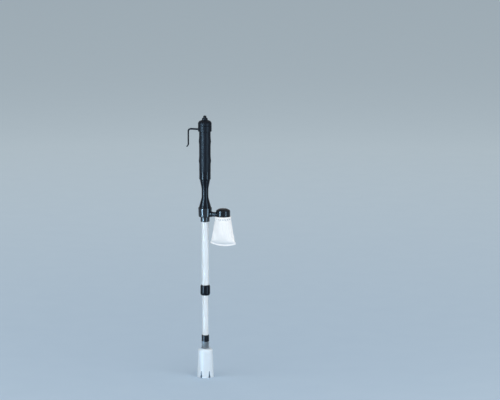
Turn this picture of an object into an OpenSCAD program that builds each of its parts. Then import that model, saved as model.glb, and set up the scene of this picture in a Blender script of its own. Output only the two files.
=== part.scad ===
// Battery powered gravel vacuum for an aquarium.
// A handle with two cells and a motor drives a pump through a waisted stem. Water rises through a
// slotted bell and a telescopic tube, and leaves by a side outlet into a filter bag.
// Sizes are in millimetres. The origin is on the tube axis in the middle of the grip, +Z is up,
// the hook points to -X and the outlet to +X.

/* [Cells] */
// Diameter of one C size cell
cell_d = 26.2; // [25:0.1:28]
// Length of one cell over its contact nub
cell_l = 50; // [46:0.5:54]
// Radial play of a cell in the handle
cell_play = 0.7; // [0.4:0.1:1.5]

/* [Handle] */
// Wall of the handle tube
handle_wall = 2.1; // [1.8:0.1:3]
// Step in radius from the handle tube to its neck under the cap
neck_step = 0.6; // [0.4:0.1:0.8]
// Distance from the middle of the grip down to the stem joint
grip_to_seam = 56.4; // [50:0.2:65]
// Distance of each grip swell from the middle of the grip
swell_at = 29; // [22:1:36]
// Height of a grip swell over the tube
swell_h = 1.4; // [0.5:0.1:2]
// Length of the outer slope of a grip swell
swell_run = 8; // [6:0.5:9]

/* [Head cap] */
// Wall of the screw cap
cap_wall = 3.4; // [2.5:0.1:5]
// Length of tube neck that the cap covers
skirt_l = 7; // [6:0.5:12]
// Thickness of the cap's top
cap_top_t = 3.8; // [3:0.1:6]
// Drop of the cap's sloping shoulder from its top
cap_slope = 7.3; // [6:0.1:9]
// Thickness of the seal in the cap
seal_t = 1.6; // [1:0.1:3]
// Length of the cell spring as fitted
spring_l = 10; // [8:0.5:14]
// Wire of the cell spring
spring_wire = 0.9; // [0.6:0.1:1.2]

/* [Switch] */
// Diameter of the push button
button_d = 9.2; // [8:0.1:10]
// Height of the button over its bezel
button_h = 6.3; // [5:0.1:9]
// Travel of the button
button_travel = 2.5; // [1.5:0.1:3]
// Diameter of the bezel
bezel_d = 15.8; // [15:0.1:20]
// Height of the bezel
bezel_h = 6.2; // [6:0.1:8]
// Diameter of the switch body inside the cap
switch_d = 20; // [18:0.5:24]
// Height of the switch body
switch_h = 11.6; // [10:0.1:14]

/* [Hook] */
// Height of the collar that carries the hook
ring_h = 16.8; // [12:0.1:22]
// Clear gap between the handle and the hook's leg
hook_gap = 31.8; // [24:0.2:40]
// Width of the hook
hook_w = 6; // [5:0.5:14]
// Thickness of the hook's arm
arm_t = 4.5; // [3:0.1:6]
// Thickness of the hook's leg
leg_t = 2.6; // [2.5:0.1:5]
// Depth of the arm's top below the collar's top
arm_drop = 9.2; // [3:0.1:10]
// Length of the straight leg below the arm's top
leg_l = 47; // [30:0.5:60]
// Outer radius of the hook's bend
bend_r = 9; // [7:0.5:12]

/* [Motor and stem] */
// Diameter of the motor
motor_d = 24.2; // [22:0.1:25]
// Length of the motor
motor_l = 30.5; // [28:0.5:36]
// Height of the stem's collar
collar_h = 22; // [18:0.5:28]
// Step in radius below the collar
collar_step = 1.6; // [0.8:0.1:3]
// Length of the taper from the collar to the waist
taper_l = 25; // [18:0.5:35]
// Diameter of the waist
waist_d = 18.8; // [16:0.2:24]
// Length of the waist
waist_l = 24.5; // [15:0.5:40]
// Length of the flare from the waist to the pump
flare_l = 28.5; // [20:0.5:40]
// Diameter of the flare at the pump
flare_d = 34.6; // [33:0.2:37]
// Diameter of the drive shaft
shaft_d = 3; // [2.5:0.1:4]

/* [Pump] */
// Diameter of the pump housing at its top
housing_d = 38.4; // [38:0.2:44]
// Height of the pump housing
housing_h = 26; // [24:0.5:34]
// Loss of radius from the housing's top to its bottom
housing_draft = 1.4; // [0.5:0.1:2]
// Depth of the stem's spigot in the housing
spigot_l = 5; // [4:0.2:7]
// Diameter of the impeller
impeller_d = 26; // [20:0.5:29]
// Number of impeller vanes
vanes = 6; // [4:1:9]
// Length of the socket under the housing
socket_l = 13.4; // [11:0.2:20]
// Diameter of the outlet arm
outlet_d = 13.2; // [12:0.2:14]
// Wall of the outlet arm
outlet_wall = 1.7; // [1.4:0.1:2.5]
// Step in radius from the outlet arm to its root at the housing
outlet_step = 1.3; // [0.8:0.1:1.4]
// Distance from the tube axis to the bag's axis
bag_x = 53.3; // [50:0.1:60]

/* [Bag] */
// Diameter of the bag cap
bag_cap_d = 39.3; // [38:0.1:44]
// Rise of the cap's dome over the outlet axis
dome_rise = 18.2; // [16:0.2:22]
// Wall of the bag cap
bag_cap_wall = 1.8; // [1.5:0.1:2.4]
// Height of the bag's hem
hem_h = 9.8; // [8.5:0.1:13]
// Thickness of the gathered hem
hem_t = 3.8; // [3.2:0.1:5]
// Width of the bag along its bottom seam
bag_w = 74.2; // [66:0.2:90]
// Length of the bag below its hem, at the corners
bag_l = 68; // [60:0.5:90]
// Sag of the bottom seam between its corners
bag_sag = 6.5; // [2:0.5:9]
// Thickness of the gathered cloth
cloth_t = 0.8; // [0.6:0.1:1.2]

/* [Telescopic tube] */
// Outside diameter of the upper tube
upper_d = 20; // [19.8:0.1:22]
// Wall of the upper tube
upper_wall = 1; // [0.8:0.1:1.1]
// Length of the upper tube
upper_l = 205; // [160:1:260]
// Outside diameter of the lower tube
lower_d = 17.2; // [16:0.1:17.4]
// Wall of the lower tube
lower_wall = 1.2; // [1:0.1:1.6]
// Length of the lower tube
lower_l = 230; // [180:1:240]
// Length of the lower tube that shows under the lock nut
shown_l = 112.9; // [90:0.1:140]
// Diameter of the lock nut
nut_d = 27.2; // [26.6:0.1:32]
// Length of the lock nut
nut_l = 29.1; // [28.5:0.1:36]

/* [Intake] */
// Diameter of the adapter's collar
adapter_d = 20.7; // [20.6:0.1:24]
// Length of the adapter's collar
adapter_l = 18.7; // [15:0.1:24]
// Outside diameter of the nozzle's neck
neck_d = 20; // [19.4:0.1:22]
// Length of the nozzle's neck
nozzle_neck_l = 14.9; // [12:0.1:20]
// Diameter of the nozzle at its shoulder
shoulder_d = 41; // [36:0.2:44]
// Height of the nozzle's shoulder
shoulder_h = 9; // [7:0.2:14]
// Diameter of the nozzle at its foot
foot_d = 46.7; // [45:0.1:56]
// Height of the nozzle's body
body_h = 76.7; // [55:0.1:100]
// Wall of the nozzle
nozzle_wall = 1.8; // [1.4:0.1:2.4]
// Number of slots in the foot
slots = 6; // [4:1:8]
// Height of a slot
slot_h = 19.2; // [12:0.2:24]
// Width of a slot at the foot
slot_w = 7.2; // [5:0.1:9]
// Width of a slot at its round top
slot_top_w = 4.2; // [3:0.1:5]

/* [Clearances] */
// Radial clearance of pieces that turn or slide on each other
run_play = 0.08; // [0.05:0.01:0.1]
// Clearance of pieces that are fitted together for good
seat_play = 0.04; // [0.02:0.01:0.08]
// Free gap between pieces that move past each other
free_gap = 0.3; // [0.2:0.05:0.5]

/* [Hidden] */
$fn = 72;
ARC_STEPS = 5;
// Reach of a cut past the face that it opens
CUT = 1;
// How far edges are rounded
fine_edge = 0.4;
edge = 0.8;
broad_edge = 1.2;

BLACK = [0.05, 0.05, 0.06];
CLEAR = [0.86, 0.9, 0.93, 0.55];
MILKY = [0.85, 0.91, 0.95, 0.75];
CLOTH = [0.96, 0.96, 0.95];
RUBBER = [0.12, 0.12, 0.13];
STEEL = [0.7, 0.71, 0.73];
BRASS = [0.78, 0.62, 0.3];
WRAP = [0.25, 0.3, 0.36];
GREY = [0.55, 0.56, 0.58];

// Radii of the handle and what it holds
bore_r = cell_d / 2 + cell_play;
handle_r = bore_r + handle_wall;
neck_r = handle_r - neck_step;
cap_bore_r = neck_r + run_play;
cap_r = cap_bore_r + cap_wall;
swell_shift = 4;
swell_sink = 0.25;
swell_round = 9;
nub_r = 3.75;
nub_h = 1.5;
shaft_r = shaft_d / 2;

// Levels of the handle, from the stem joint up
seam_z = -grip_to_seam;
floor_t = 3.5;
motor_z = seam_z - collar_h + floor_t;
motor_top_z = motor_z + motor_l;
plug_gap = 2.5;
plug_least = 6;
plug_top_z = max(motor_top_z - plug_gap, seam_z + plug_least);
retainer_t = 4;
contact_t = 0.5;
contact_r = 8;
pin_r = 1.5;
pin_l = 4;
cells_z = motor_top_z + retainer_t + contact_t;
cells_top_z = cells_z + 2 * cell_l;
switch_z = cells_top_z + free_gap + spring_l;
cap_in_z = switch_z + switch_h;
cap_top_z = cap_in_z + cap_top_t;
land_h = 2;
land_z = cap_in_z - land_h;
tube_top_z = land_z - seal_t;
cap_bottom_z = tube_top_z - skirt_l;
ring_top_z = cap_bottom_z - free_gap;
ring_z = ring_top_z - ring_h;
shoulder_z = ring_z - free_gap;
bezel_top_z = cap_top_z + bezel_h;
crown_inset = 3.3;
crown_drop = 2.6;
crown_round = 5;
crown_ledge = 1.4;
cap_round = 3;

// Strip contact in the tube's wall
strip_w = 6;
strip_t = 0.5;
strip_groove = 0.9;
strip_play = 0.2;

// Switch
bezel_r = bezel_d / 2;
bezel_foot = 0.8;
bezel_foot_h = 1.6;
bezel_taper = 0.6;
button_r = button_d / 2;
button_round = 2.6;
button_band = 1;
stem_r = 2;
stem_l = 4;
lip_t = 1.5;
flange_t = 1.5;
flange_w = 1.4;
flange_r = button_r + flange_w;
flange_z = bezel_top_z - lip_t - free_gap - flange_t;
stem_z = cap_in_z - stem_l;
switch_r = switch_d / 2;
switch_lip = 1.5;
switch_lip_t = 2;

// Cell spring
SPRING_TURNS = 4;
SPRING_STEPS = 16;
SPRING_SIDES = 6;
spring_inset = 1.5;
spring_wide_r = switch_r - spring_inset;
spring_narrow_r = 5;
spring_rings = SPRING_TURNS * SPRING_STEPS + 1;

// Hook
leg_in = handle_r + hook_gap;
leg_out = leg_in + leg_t;
arm_top_z = ring_top_z - arm_drop;
arm_z = arm_top_z - arm_t;
leg_end_z = arm_top_z - leg_l;
hook_root = 1;
kick = 4.6;
kick_drop = 6.2;
kick_bend = 7;
kick_tip = 1.2;

// Stem, from the joint down
collar_z = seam_z - collar_h;
step_h = 2;
step_z = collar_z - step_h;
waist_top_z = step_z - taper_l;
waist_z = waist_top_z - waist_l;
flare_z = waist_z - flare_l;
spigot_z = flare_z - spigot_l;
waist_r = waist_d / 2;
flare_r = flare_d / 2;
taper_bend = 30;
flare_bend = 24;
spigot_step = 3;
spigot_r = flare_r - spigot_step;
groove_w = 2;
groove_d = 1.1;
groove_z = (spigot_z + flare_z) / 2;
spigot_wall = 2.2;
plate_r = spigot_r - spigot_wall;
plate_t = 4.5;
plate_z = spigot_z + plate_t;
plate_ledge = 1.5;
plate_room = 2;
plate_hub_r = 6;
plate_hub_h = 6;
plate_hub_draft = 1;
seal_w = 3;
seal_r = shaft_r + seal_w;
seal_h = 3;
stem_bore_r = 5;

// Drive line
motor_r = motor_d / 2;
motor_boss_play = 0.5;
motor_boss_r = stem_bore_r - motor_boss_play;
motor_boss_h = 2;
end_bell_t = 5;
end_bell_rim = 3;
end_bell_recess = 1.5;
motor_shaft_r = 1;
shaft_in = 9.5;
shaft_out = 12;
coupling_drop = 5;
coupling_top_z = motor_z - coupling_drop;
coupling_l = 14;
coupling_z = coupling_top_z - coupling_l;
coupling_r = 3.2;
coupling_grip = 6;
shaft_top_z = coupling_z + coupling_grip;

// Pump
housing_r = housing_d / 2;
housing_low_r = housing_r - housing_draft;
housing_z = flare_z - housing_h;
housing_floor = 3;
chamber_z = housing_z + housing_floor;
housing_wall = 2.2;
chamber_r = housing_low_r - housing_wall;
impeller_gap = 1;
impeller_lift = 1.5;
impeller_r = min(impeller_d / 2, chamber_r - impeller_gap);
impeller_top_z = spigot_z - impeller_gap;
impeller_z = chamber_z + impeller_lift;
hub_r = 4;
back_t = 1.6;
vane_t = 1.4;
// Radius of a vane's arc, where its centre lies and where it starts and ends, as shares of a radius
VANE_ARC = 0.62;
VANE_CENTRE = [0.55, 0.38];
VANE_ENDS = [0.2, 0.3];
vane_r = impeller_r * VANE_ARC;
vane_at = impeller_r * VANE_CENTRE;
upper_r = upper_d / 2;
upper_bore_r = upper_r - upper_wall;
socket_wall = 2.5;
socket_r = upper_r + seat_play + socket_wall;
socket_z = housing_z - socket_l;
seat_ledge = 1.2;
seat_depth = 2;
intake_r = upper_bore_r - seat_ledge;
tube_seat_z = housing_z - seat_depth;
outlet_r = outlet_d / 2;
outlet_bore_r = outlet_r - outlet_wall;
outlet_lift = 0.3;
outlet_z = chamber_z + outlet_bore_r + outlet_lift;
outlet_short = 8;
outlet_end_x = bag_x - outlet_short;
outlet_root_r = outlet_r + outlet_step;
outlet_root_l = 1;
outlet_root_x = housing_r + outlet_root_l;
outlet_sink = 3;
outlet_root_slope = 1.8;

// Bag cap and bag
bag_cap_r = bag_cap_d / 2;
dome_z = outlet_z + dome_rise;
dome_drop = 5.4;
skirt_drop = 3.2;
skirt_z = outlet_z - skirt_drop;
DOME_FLAT = 0.55;
dome_flat_r = bag_cap_r * DOME_FLAT;
dome_round = 16;
bag_spigot_step = 1.2;
bag_spigot_extra = 2.4;
bag_spigot_r = bag_cap_r - bag_spigot_step;
bag_spigot_z = skirt_z - hem_h - bag_spigot_extra;
bead = 0.35;
bead_h = 1.6;
boss_wall = 2.8;
boss_r = outlet_r + boss_wall;
boss_end = 2;
pocket_depth = 1.3;
pocket_in = 15;
pocket_r = outlet_r + pocket_depth;
pocket_x = bag_x - pocket_in;
pocket_l = 2.4;
hem_play = 0.8;
hem_gap = 0.5;
hem_in_r = bag_spigot_r + hem_play;
hem_out_r = hem_in_r + hem_t;
hem_top_z = skirt_z - hem_gap;
hem_z = hem_top_z - hem_h;
hem_dip = hem_top_z - (outlet_z - outlet_r) + 2 * free_gap;
elastic_r = 0.95;
ELASTIC_DEPTH = 0.62;
elastic_in = 1.4;
elastic_z = hem_top_z - hem_h * ELASTIC_DEPTH;
elastic_ring_r = hem_in_r + elastic_in;
seam_b = 1.2;
seam_h = 1.6;
bag_low_z = hem_z - bag_l;
gather_step = 1.1;
gather_r = hem_out_r - gather_step;
gather_h = 0.7;
BAG_SIDES = 40;
GATHERS = 10;
BAG_LEVELS = [0.05, 0.13, 0.24, 0.37, 0.51, 0.66, 0.8, 0.9, 0.96];
FULLNESS = 2.8;
DIP_SPREAD = 40;

// Telescopic tube
upper_end_z = tube_seat_z - upper_l;
nut_r = nut_d / 2;
nut_over = 15;
nut_top_z = upper_end_z + nut_over;
nut_z = nut_top_z - nut_l;
nut_floor = 2.5;
nut_bevel = [2.4, 3.6];
nut_lip = 0.6;
nut_round = 5;
nut_travel = 1;
sleeve_top_z = nut_top_z - nut_floor - nut_travel - free_gap;
sleeve_wall = 0.75;
sleeve_r = upper_r + seat_play + sleeve_wall;
fingers = 6;
slit_w = 1.2;
finger_root = 1;
finger_taper = 1.2;
finger_l = 8;
finger_z = upper_end_z - finger_l;
lower_r = lower_d / 2;
lower_bore_r = lower_r - lower_wall;
stop_l = 6;
adapter_top_z = nut_z - shown_l;
adapter_seat = 13.5;
lower_z = adapter_top_z - adapter_seat;
lower_top_z = lower_z + lower_l;

// Intake
adapter_r = adapter_d / 2;
adapter_z = adapter_top_z - adapter_l;
neck_out_r = neck_d / 2;
neck_wall = 1.2;
neck_bore_r = neck_out_r - neck_wall;
nozzle_spigot_r = neck_bore_r - seat_play;
nozzle_spigot_extra = 7.8;
nozzle_spigot_l = nozzle_neck_l + nozzle_spigot_extra;
nozzle_spigot_z = adapter_z - nozzle_spigot_l;
nozzle_spigot_wall = 1.7;
adapter_bore_r = nozzle_spigot_r - nozzle_spigot_wall;
shoulder_top_z = adapter_z - nozzle_neck_l;
shoulder_low_z = shoulder_top_z - shoulder_h;
shoulder_r = shoulder_d / 2;
foot_r = foot_d / 2;
foot_z = shoulder_low_z - body_h;
guard_h = 3;
guard_wall = 1.2;
guard_bar = 1.6;
neck_bend = 2.8;
shoulder_bend = 6;
// How much lower the bell's inner corners lie than its outer ones, as shares of the wall
NECK_DROP = 0.6;
SHOULDER_DROP = 0.2;
// Turn of the bell on its adapter
slot_turn = 20;

// Outlines: each corner is [x, y, radius], and a corner without a radius stays sharp
function unit(v) = v / norm(v);
function flat(c) = [c[0], c[1]];
function radius(c) = len(c) > 2 ? c[2] : 0;
function arc(centre, r, from, sweep) =
    [for (i = [0:ARC_STEPS])
        let (a = from + sweep * i / ARC_STEPS)
        centre + r * [cos(a), sin(a)]];
function corner(before, at, after) =
    radius(at) == 0 ? [flat(at)] :
    let (
        p = flat(at),
        u = unit(flat(before) - p),
        v = unit(flat(after) - p),
        half = acos(u * v) / 2,
        centre = p + unit(u + v) * radius(at) / sin(half),
        start = p + u * radius(at) / tan(half) - centre,
        side = cross(u, v) > 0 ? -1 : 1
    )
    arc(centre, radius(at), atan2(start[1], start[0]), side * (180 - 2 * half));
function outline(corners) =
    let (n = len(corners))
    [for (i = [0:n - 1])
        each corner(corners[(i + n - 1) % n], corners[i], corners[(i + 1) % n])];

// A body turned on Z from corners [radius, height, corner radius]
module turned(corners) {
    rotate_extrude()
        polygon(outline(corners));
}

// A ring or sleeve on Z with square ends
module sleeve(outer, inner, low, high) {
    rotate_extrude()
        translate([inner, low])
            square([outer - inner, high - low]);
}

// A round hole on Z
module hole(r, low, high) {
    translate([0, 0, low])
        cylinder(r = r, h = high - low);
}

// A round bar on X
module bar_x(r, from, to) {
    translate([from, 0, 0])
        rotate([0, 90, 0])
            cylinder(r = r, h = to - from);
}

// Turns a flat drawing so that its height runs along Z and its thickness along Y
module upright(thickness) {
    rotate([90, 0, 0])
        linear_extrude(thickness, center = true)
            children();
}

// Handle

// The two swells of one side, turned on an axis off centre so that they fade into the tube
module grip_swells() {
    base_r = handle_r - swell_shift - swell_sink;
    crest_r = handle_r - swell_shift + swell_h;
    top = swell_at + swell_run;
    low = swell_at - 2 * swell_run;
    turned([
        [0, -top], [base_r, -top], [crest_r, -swell_at, swell_round], [base_r, -low, swell_round],
        [base_r, low, swell_round], [crest_r, swell_at, swell_round], [base_r, top], [0, top],
    ]);
}

module handle_tube() {
    color(BLACK)
        difference() {
            union() {
                turned([
                    [0, seam_z], [handle_r, seam_z, fine_edge], [handle_r, shoulder_z],
                    [neck_r, shoulder_z], [neck_r, tube_top_z, fine_edge], [0, tube_top_z],
                ]);
                for (side = [-1, 1])
                    translate([side * swell_shift, 0, 0])
                        grip_swells();
            }
            hole(bore_r, seam_z - CUT, tube_top_z + CUT);
            translate([-strip_w / 2 - strip_play, 0, plug_top_z])
                cube([strip_w + 2 * strip_play, bore_r + strip_groove, tube_top_z - plug_top_z + CUT]);
        }
}

// Stem with the motor cup, the waist and the flare down to the pump
module lower_handle() {
    color(BLACK)
        difference() {
            turned([
                [0, spigot_z], [spigot_r, spigot_z, fine_edge], [spigot_r, flare_z],
                [flare_r, flare_z, edge], [waist_r, waist_z, flare_bend],
                [waist_r, waist_top_z, taper_bend],
                [handle_r - collar_step, step_z], [handle_r, collar_z, edge],
                [handle_r, seam_z, fine_edge], [bore_r - seat_play, seam_z],
                [bore_r - seat_play, plug_top_z, fine_edge], [0, plug_top_z],
            ]);
            hole(motor_r + seat_play, motor_z, plug_top_z + CUT);
            hole(stem_bore_r, waist_z, motor_z + CUT);
            turned([
                [0, waist_z + CUT], [stem_bore_r, waist_z + CUT], [stem_bore_r, waist_z],
                [plate_r - plate_ledge, plate_z + plate_room], [plate_r - plate_ledge, plate_z],
                [plate_r, plate_z], [plate_r, spigot_z - CUT], [0, spigot_z - CUT],
            ]);
            sleeve(spigot_r + CUT, spigot_r - groove_d, groove_z - groove_w / 2, groove_z + groove_w / 2);
        }
}

module motor_can() {
    boss_z = motor_z - motor_boss_h;
    end_z = motor_top_z - end_bell_t;
    color(STEEL)
        difference() {
            turned([
                [0, boss_z], [motor_boss_r, boss_z], [motor_boss_r, motor_z],
                [motor_r, motor_z, edge], [motor_r, end_z], [0, end_z],
            ]);
            hole(motor_shaft_r + run_play, boss_z - CUT, motor_z + shaft_in + free_gap);
        }
}

// The insulated end of the motor, with a rim and a recess round the terminal
module motor_end_bell() {
    hole_r = pin_r + run_play;
    low = motor_top_z - end_bell_t;
    recess_z = motor_top_z - end_bell_recess;
    color(GREY)
        turned([
            [hole_r, low], [motor_r, low], [motor_r, motor_top_z, fine_edge],
            [motor_r - end_bell_rim, motor_top_z],
            [motor_r - end_bell_rim - fine_edge, recess_z], [hole_r, recess_z],
        ]);
}

module motor_retainer() {
    color(GREY)
        sleeve(bore_r - seat_play, pin_r + run_play, motor_top_z, motor_top_z + retainer_t);
}

// Plate under the lower cell, with a pin down to the motor
module positive_contact() {
    plate_low_z = cells_z - contact_t;
    color(BRASS)
        turned([
            [0, motor_top_z - pin_l], [pin_r, motor_top_z - pin_l], [pin_r, plate_low_z],
            [contact_r, plate_low_z], [contact_r, cells_z], [0, cells_z],
        ]);
}

// Spring strip in the tube wall that carries current from the cap to the motor can
module contact_strip() {
    near = bore_r + strip_play;
    foot = motor_r + seat_play;
    low = plug_top_z + run_play;
    color(BRASS)
        translate([-strip_w / 2, 0, low]) {
            translate([0, near, 0])
                cube([strip_w, strip_t, tube_top_z - fine_edge - low]);
            translate([0, foot, 0])
                cube([strip_w, near + strip_t - foot, strip_t]);
        }
}

// One cell standing on its nub at a level
module cell(low) {
    color(WRAP)
        turned([
            [0, low], [nub_r, low, fine_edge], [nub_r, low + nub_h],
            [cell_d / 2, low + nub_h, broad_edge], [cell_d / 2, low + cell_l, edge],
            [0, low + cell_l],
        ]);
}

module battery_lower() {
    cell(cells_z);
}

module battery_upper() {
    cell(cells_z + cell_l);
}

// Head cap and switch

module head_cap() {
    color(BLACK)
        difference() {
            turned([
                [0, cap_bottom_z], [cap_r, cap_bottom_z, edge],
                [cap_r, cap_top_z - cap_slope, cap_round],
                [cap_r - crown_inset, cap_top_z - crown_drop, crown_round],
                [bezel_r + crown_ledge, cap_top_z, cap_round], [0, cap_top_z],
            ]);
            hole(cap_bore_r, cap_bottom_z - CUT, land_z);
            hole(bore_r, land_z - CUT, cap_in_z);
            hole(stem_r + free_gap, cap_in_z - CUT, cap_top_z + CUT);
        }
}

module switch_bezel() {
    color(BLACK)
        difference() {
            turned([
                [0, cap_top_z], [bezel_r + bezel_foot, cap_top_z],
                [bezel_r, cap_top_z + bezel_foot_h, edge],
                [bezel_r - bezel_taper, bezel_top_z, broad_edge], [0, bezel_top_z],
            ]);
            hole(button_r + free_gap, cap_top_z - CUT, bezel_top_z + CUT);
            hole(flange_r + free_gap, cap_top_z - CUT, bezel_top_z - lip_t);
        }
}

module switch_body() {
    color(GREY)
        difference() {
            turned([
                [0, switch_z], [switch_r, switch_z, edge], [switch_r, cap_in_z - switch_lip_t],
                [switch_r + switch_lip, cap_in_z - switch_lip_t], [switch_r + switch_lip, cap_in_z],
                [0, cap_in_z],
            ]);
            hole(stem_r + free_gap, stem_z - button_travel - 2 * free_gap, cap_in_z + CUT);
        }
}

module switch_button() {
    tip_z = bezel_top_z + button_h;
    color(RUBBER)
        turned([
            [0, stem_z], [stem_r, stem_z, fine_edge], [stem_r, flange_z], [flange_r, flange_z],
            [flange_r, flange_z + flange_t], [button_r, flange_z + flange_t],
            [button_r, bezel_top_z + button_band], [button_r - fine_edge, tip_z, button_round], [0, tip_z],
        ]);
}

module cap_seal() {
    color(RUBBER)
        sleeve(neck_r, bore_r + run_play, tube_top_z + seat_play, land_z - seat_play);
}

// Tubes along a path: rings of points, skinned with triangles and closed at both ends
function ring_faces(rings, sides) =
    [for (i = [0:rings - 2], j = [0:sides - 1])
        let (a = i * sides + j, b = i * sides + (j + 1) % sides)
        each [[a, b, b + sides], [a, b + sides, a + sides]]];
function end_faces(first, sides, turn) =
    [for (j = [1:sides - 2])
        turn ? [first, first + j, first + j + 1] : [first, first + j + 1, first + j]];

function spring_at(t) =
    let (r = spring_narrow_r + (spring_wide_r - spring_narrow_r) * t,
         a = 360 * SPRING_TURNS * t)
    [r * cos(a), r * sin(a),
     cells_top_z + free_gap + spring_wire / 2 + (spring_l - spring_wire) * t];
spring_path = [for (i = [0:spring_rings - 1]) spring_at(i / (spring_rings - 1))];
spring_least_gap = min([for (i = [0:spring_rings - 1], j = [i + SPRING_STEPS / 2:spring_rings - 1])
    norm(spring_path[i] - spring_path[j])]) - spring_wire;
echo(spring_least_gap = spring_least_gap);

// Conical spring between the switch body and the upper cell
module cap_spring() {
    points = [for (i = [0:spring_rings - 1], j = [0:SPRING_SIDES - 1])
        let (p = spring_path[i],
             out = unit([p[0], p[1], 0]),
             a = 360 * j / SPRING_SIDES)
        p + spring_wire / 2 * (out * cos(a) + [0, 0, 1] * sin(a))];
    color(STEEL)
        polyhedron(points, concat(
            ring_faces(spring_rings, SPRING_SIDES),
            end_faces(0, SPRING_SIDES, true),
            end_faces((spring_rings - 1) * SPRING_SIDES, SPRING_SIDES, false)));
}

// Collar that turns on the tube's neck, with the hook for the rim of a tank
module hook_collar() {
    root = handle_r + hook_root;
    color(BLACK)
        difference() {
            union() {
                turned([
                    [0, ring_z], [cap_r, ring_z, broad_edge], [cap_r, ring_top_z, edge],
                    [0, ring_top_z],
                ]);
                upright(hook_w)
                    polygon(outline([
                        [-root, arm_z], [-leg_in, arm_z, bend_r - leg_t],
                        [-leg_in, leg_end_z, kick_bend],
                        [-leg_in - kick, leg_end_z - kick_drop, broad_edge],
                        [-leg_out - kick, leg_end_z - kick_drop + kick_tip, broad_edge],
                        [-leg_out, leg_end_z + kick_tip / 2, kick_bend],
                        [-leg_out, arm_top_z, bend_r], [-root, arm_top_z],
                    ]));
            }
            hole(neck_r + run_play, ring_z - CUT, ring_top_z + CUT);
        }
}

// Drive line

module motor_shaft() {
    color(STEEL)
        hole(motor_shaft_r, motor_z - shaft_out, motor_z + shaft_in);
}

module shaft_coupling() {
    color(BRASS)
        difference() {
            hole(coupling_r, coupling_z, coupling_top_z);
            hole(motor_shaft_r + seat_play, motor_z - shaft_out - free_gap, coupling_top_z + CUT);
            hole(shaft_r + seat_play, coupling_z - CUT, shaft_top_z + free_gap);
        }
}

module drive_shaft() {
    color(STEEL)
        hole(shaft_r, impeller_z + back_t, shaft_top_z);
}

// The lower right part of a ring, drawn flat, that one vane follows
module vane_shape() {
    reach = 4 * vane_r;
    difference() {
        circle(vane_r);
        circle(vane_r - vane_t);
        translate([-reach / 2, -vane_r * VANE_ENDS[1]])
            square(reach);
        translate([-reach - vane_r * VANE_ENDS[0], -reach])
            square([reach, 2 * reach]);
    }
}

// Back plate, hub and vanes that curve back from the way it turns
module impeller() {
    vane_top_z = impeller_top_z - back_t / 2;
    color(GREY)
        difference() {
            union() {
                hole(hub_r, impeller_z, impeller_top_z);
                hole(impeller_r, impeller_top_z - back_t, impeller_top_z);
                intersection() {
                    hole(impeller_r, impeller_z, vane_top_z);
                    for (i = [0:vanes - 1])
                        rotate([0, 0, 360 / vanes * i])
                            translate([vane_at[0], vane_at[1], impeller_z])
                                linear_extrude(vane_top_z - impeller_z)
                                    vane_shape();
                }
            }
            hole(shaft_r + seat_play, impeller_z + back_t, impeller_top_z + CUT);
        }
}

// Plate that closes the flare and guides the drive shaft
module bearing_plate() {
    hub_z = plate_z + plate_hub_h;
    color(GREY)
        difference() {
            turned([
                [0, spigot_z], [plate_r - seat_play, spigot_z], [plate_r - seat_play, plate_z],
                [plate_hub_r, plate_z, edge], [plate_hub_r - plate_hub_draft, hub_z, fine_edge], [0, hub_z],
            ]);
            hole(shaft_r + run_play, spigot_z - CUT, hub_z + CUT);
            hole(seal_r, spigot_z - CUT, spigot_z + seal_h);
        }
}

module shaft_seal() {
    color(RUBBER)
        sleeve(seal_r - seat_play, shaft_r + run_play, spigot_z + fine_edge, spigot_z + seal_h);
}

// Ring in the groove of the stem's spigot
module housing_seal() {
    section = (groove_d + seat_play) / 2;
    color(RUBBER)
        rotate_extrude()
            translate([spigot_r - groove_d + section, groove_z])
                circle(section - seat_play / 2);
}

// Pump

module pump_housing() {
    color(BLACK)
        difference() {
            union() {
                turned([
                    [0, socket_z], [socket_r, socket_z, edge], [socket_r, housing_z, broad_edge],
                    [housing_low_r, housing_z, 2 * broad_edge], [housing_r, flare_z, broad_edge],
                    [0, flare_z],
                ]);
                translate([0, 0, outlet_z])
                    rotate([0, 90, 0])
                        turned([
                            [0, 0], [outlet_root_r, 0], [outlet_root_r, outlet_root_x, edge],
                            [outlet_r, outlet_root_x + outlet_root_slope, broad_edge],
                            [outlet_r, outlet_end_x, fine_edge], [0, outlet_end_x],
                        ]);
            }
            hole(spigot_r + seat_play, spigot_z, flare_z + CUT);
            hole(chamber_r, chamber_z, spigot_z + CUT / 2);
            hole(intake_r, tube_seat_z - CUT, chamber_z + CUT);
            hole(upper_r + seat_play, socket_z - CUT, tube_seat_z);
            translate([0, 0, outlet_z])
                bar_x(outlet_bore_r, chamber_r - outlet_sink, outlet_end_x + CUT);
        }
}

// Telescopic tube

module upper_tube() {
    color(CLEAR)
        sleeve(upper_r, upper_bore_r, upper_end_z, tube_seat_z);
}

// Threaded sleeve on the upper tube, with split fingers that close on the lower tube
module collet_sleeve() {
    color(GREY)
        difference() {
            turned([
                [upper_r + seat_play, sleeve_top_z], [sleeve_r, sleeve_top_z],
                [sleeve_r, upper_end_z - finger_root], [sleeve_r - finger_taper, finger_z],
                [lower_r + run_play, finger_z], [lower_r + run_play, upper_end_z],
                [upper_r + seat_play, upper_end_z],
            ]);
            for (i = [0:fingers - 1])
                rotate([0, 0, 360 / fingers * i])
                    translate([lower_r - CUT, -slit_w / 2, finger_z - CUT])
                        cube([sleeve_r, slit_w, finger_l - finger_root + CUT]);
        }
}

module grip_ring() {
    color(RUBBER)
        sleeve(sleeve_r - run_play, lower_r + run_play, nut_z + nut_floor + seat_play, finger_z - free_gap);
}

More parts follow.
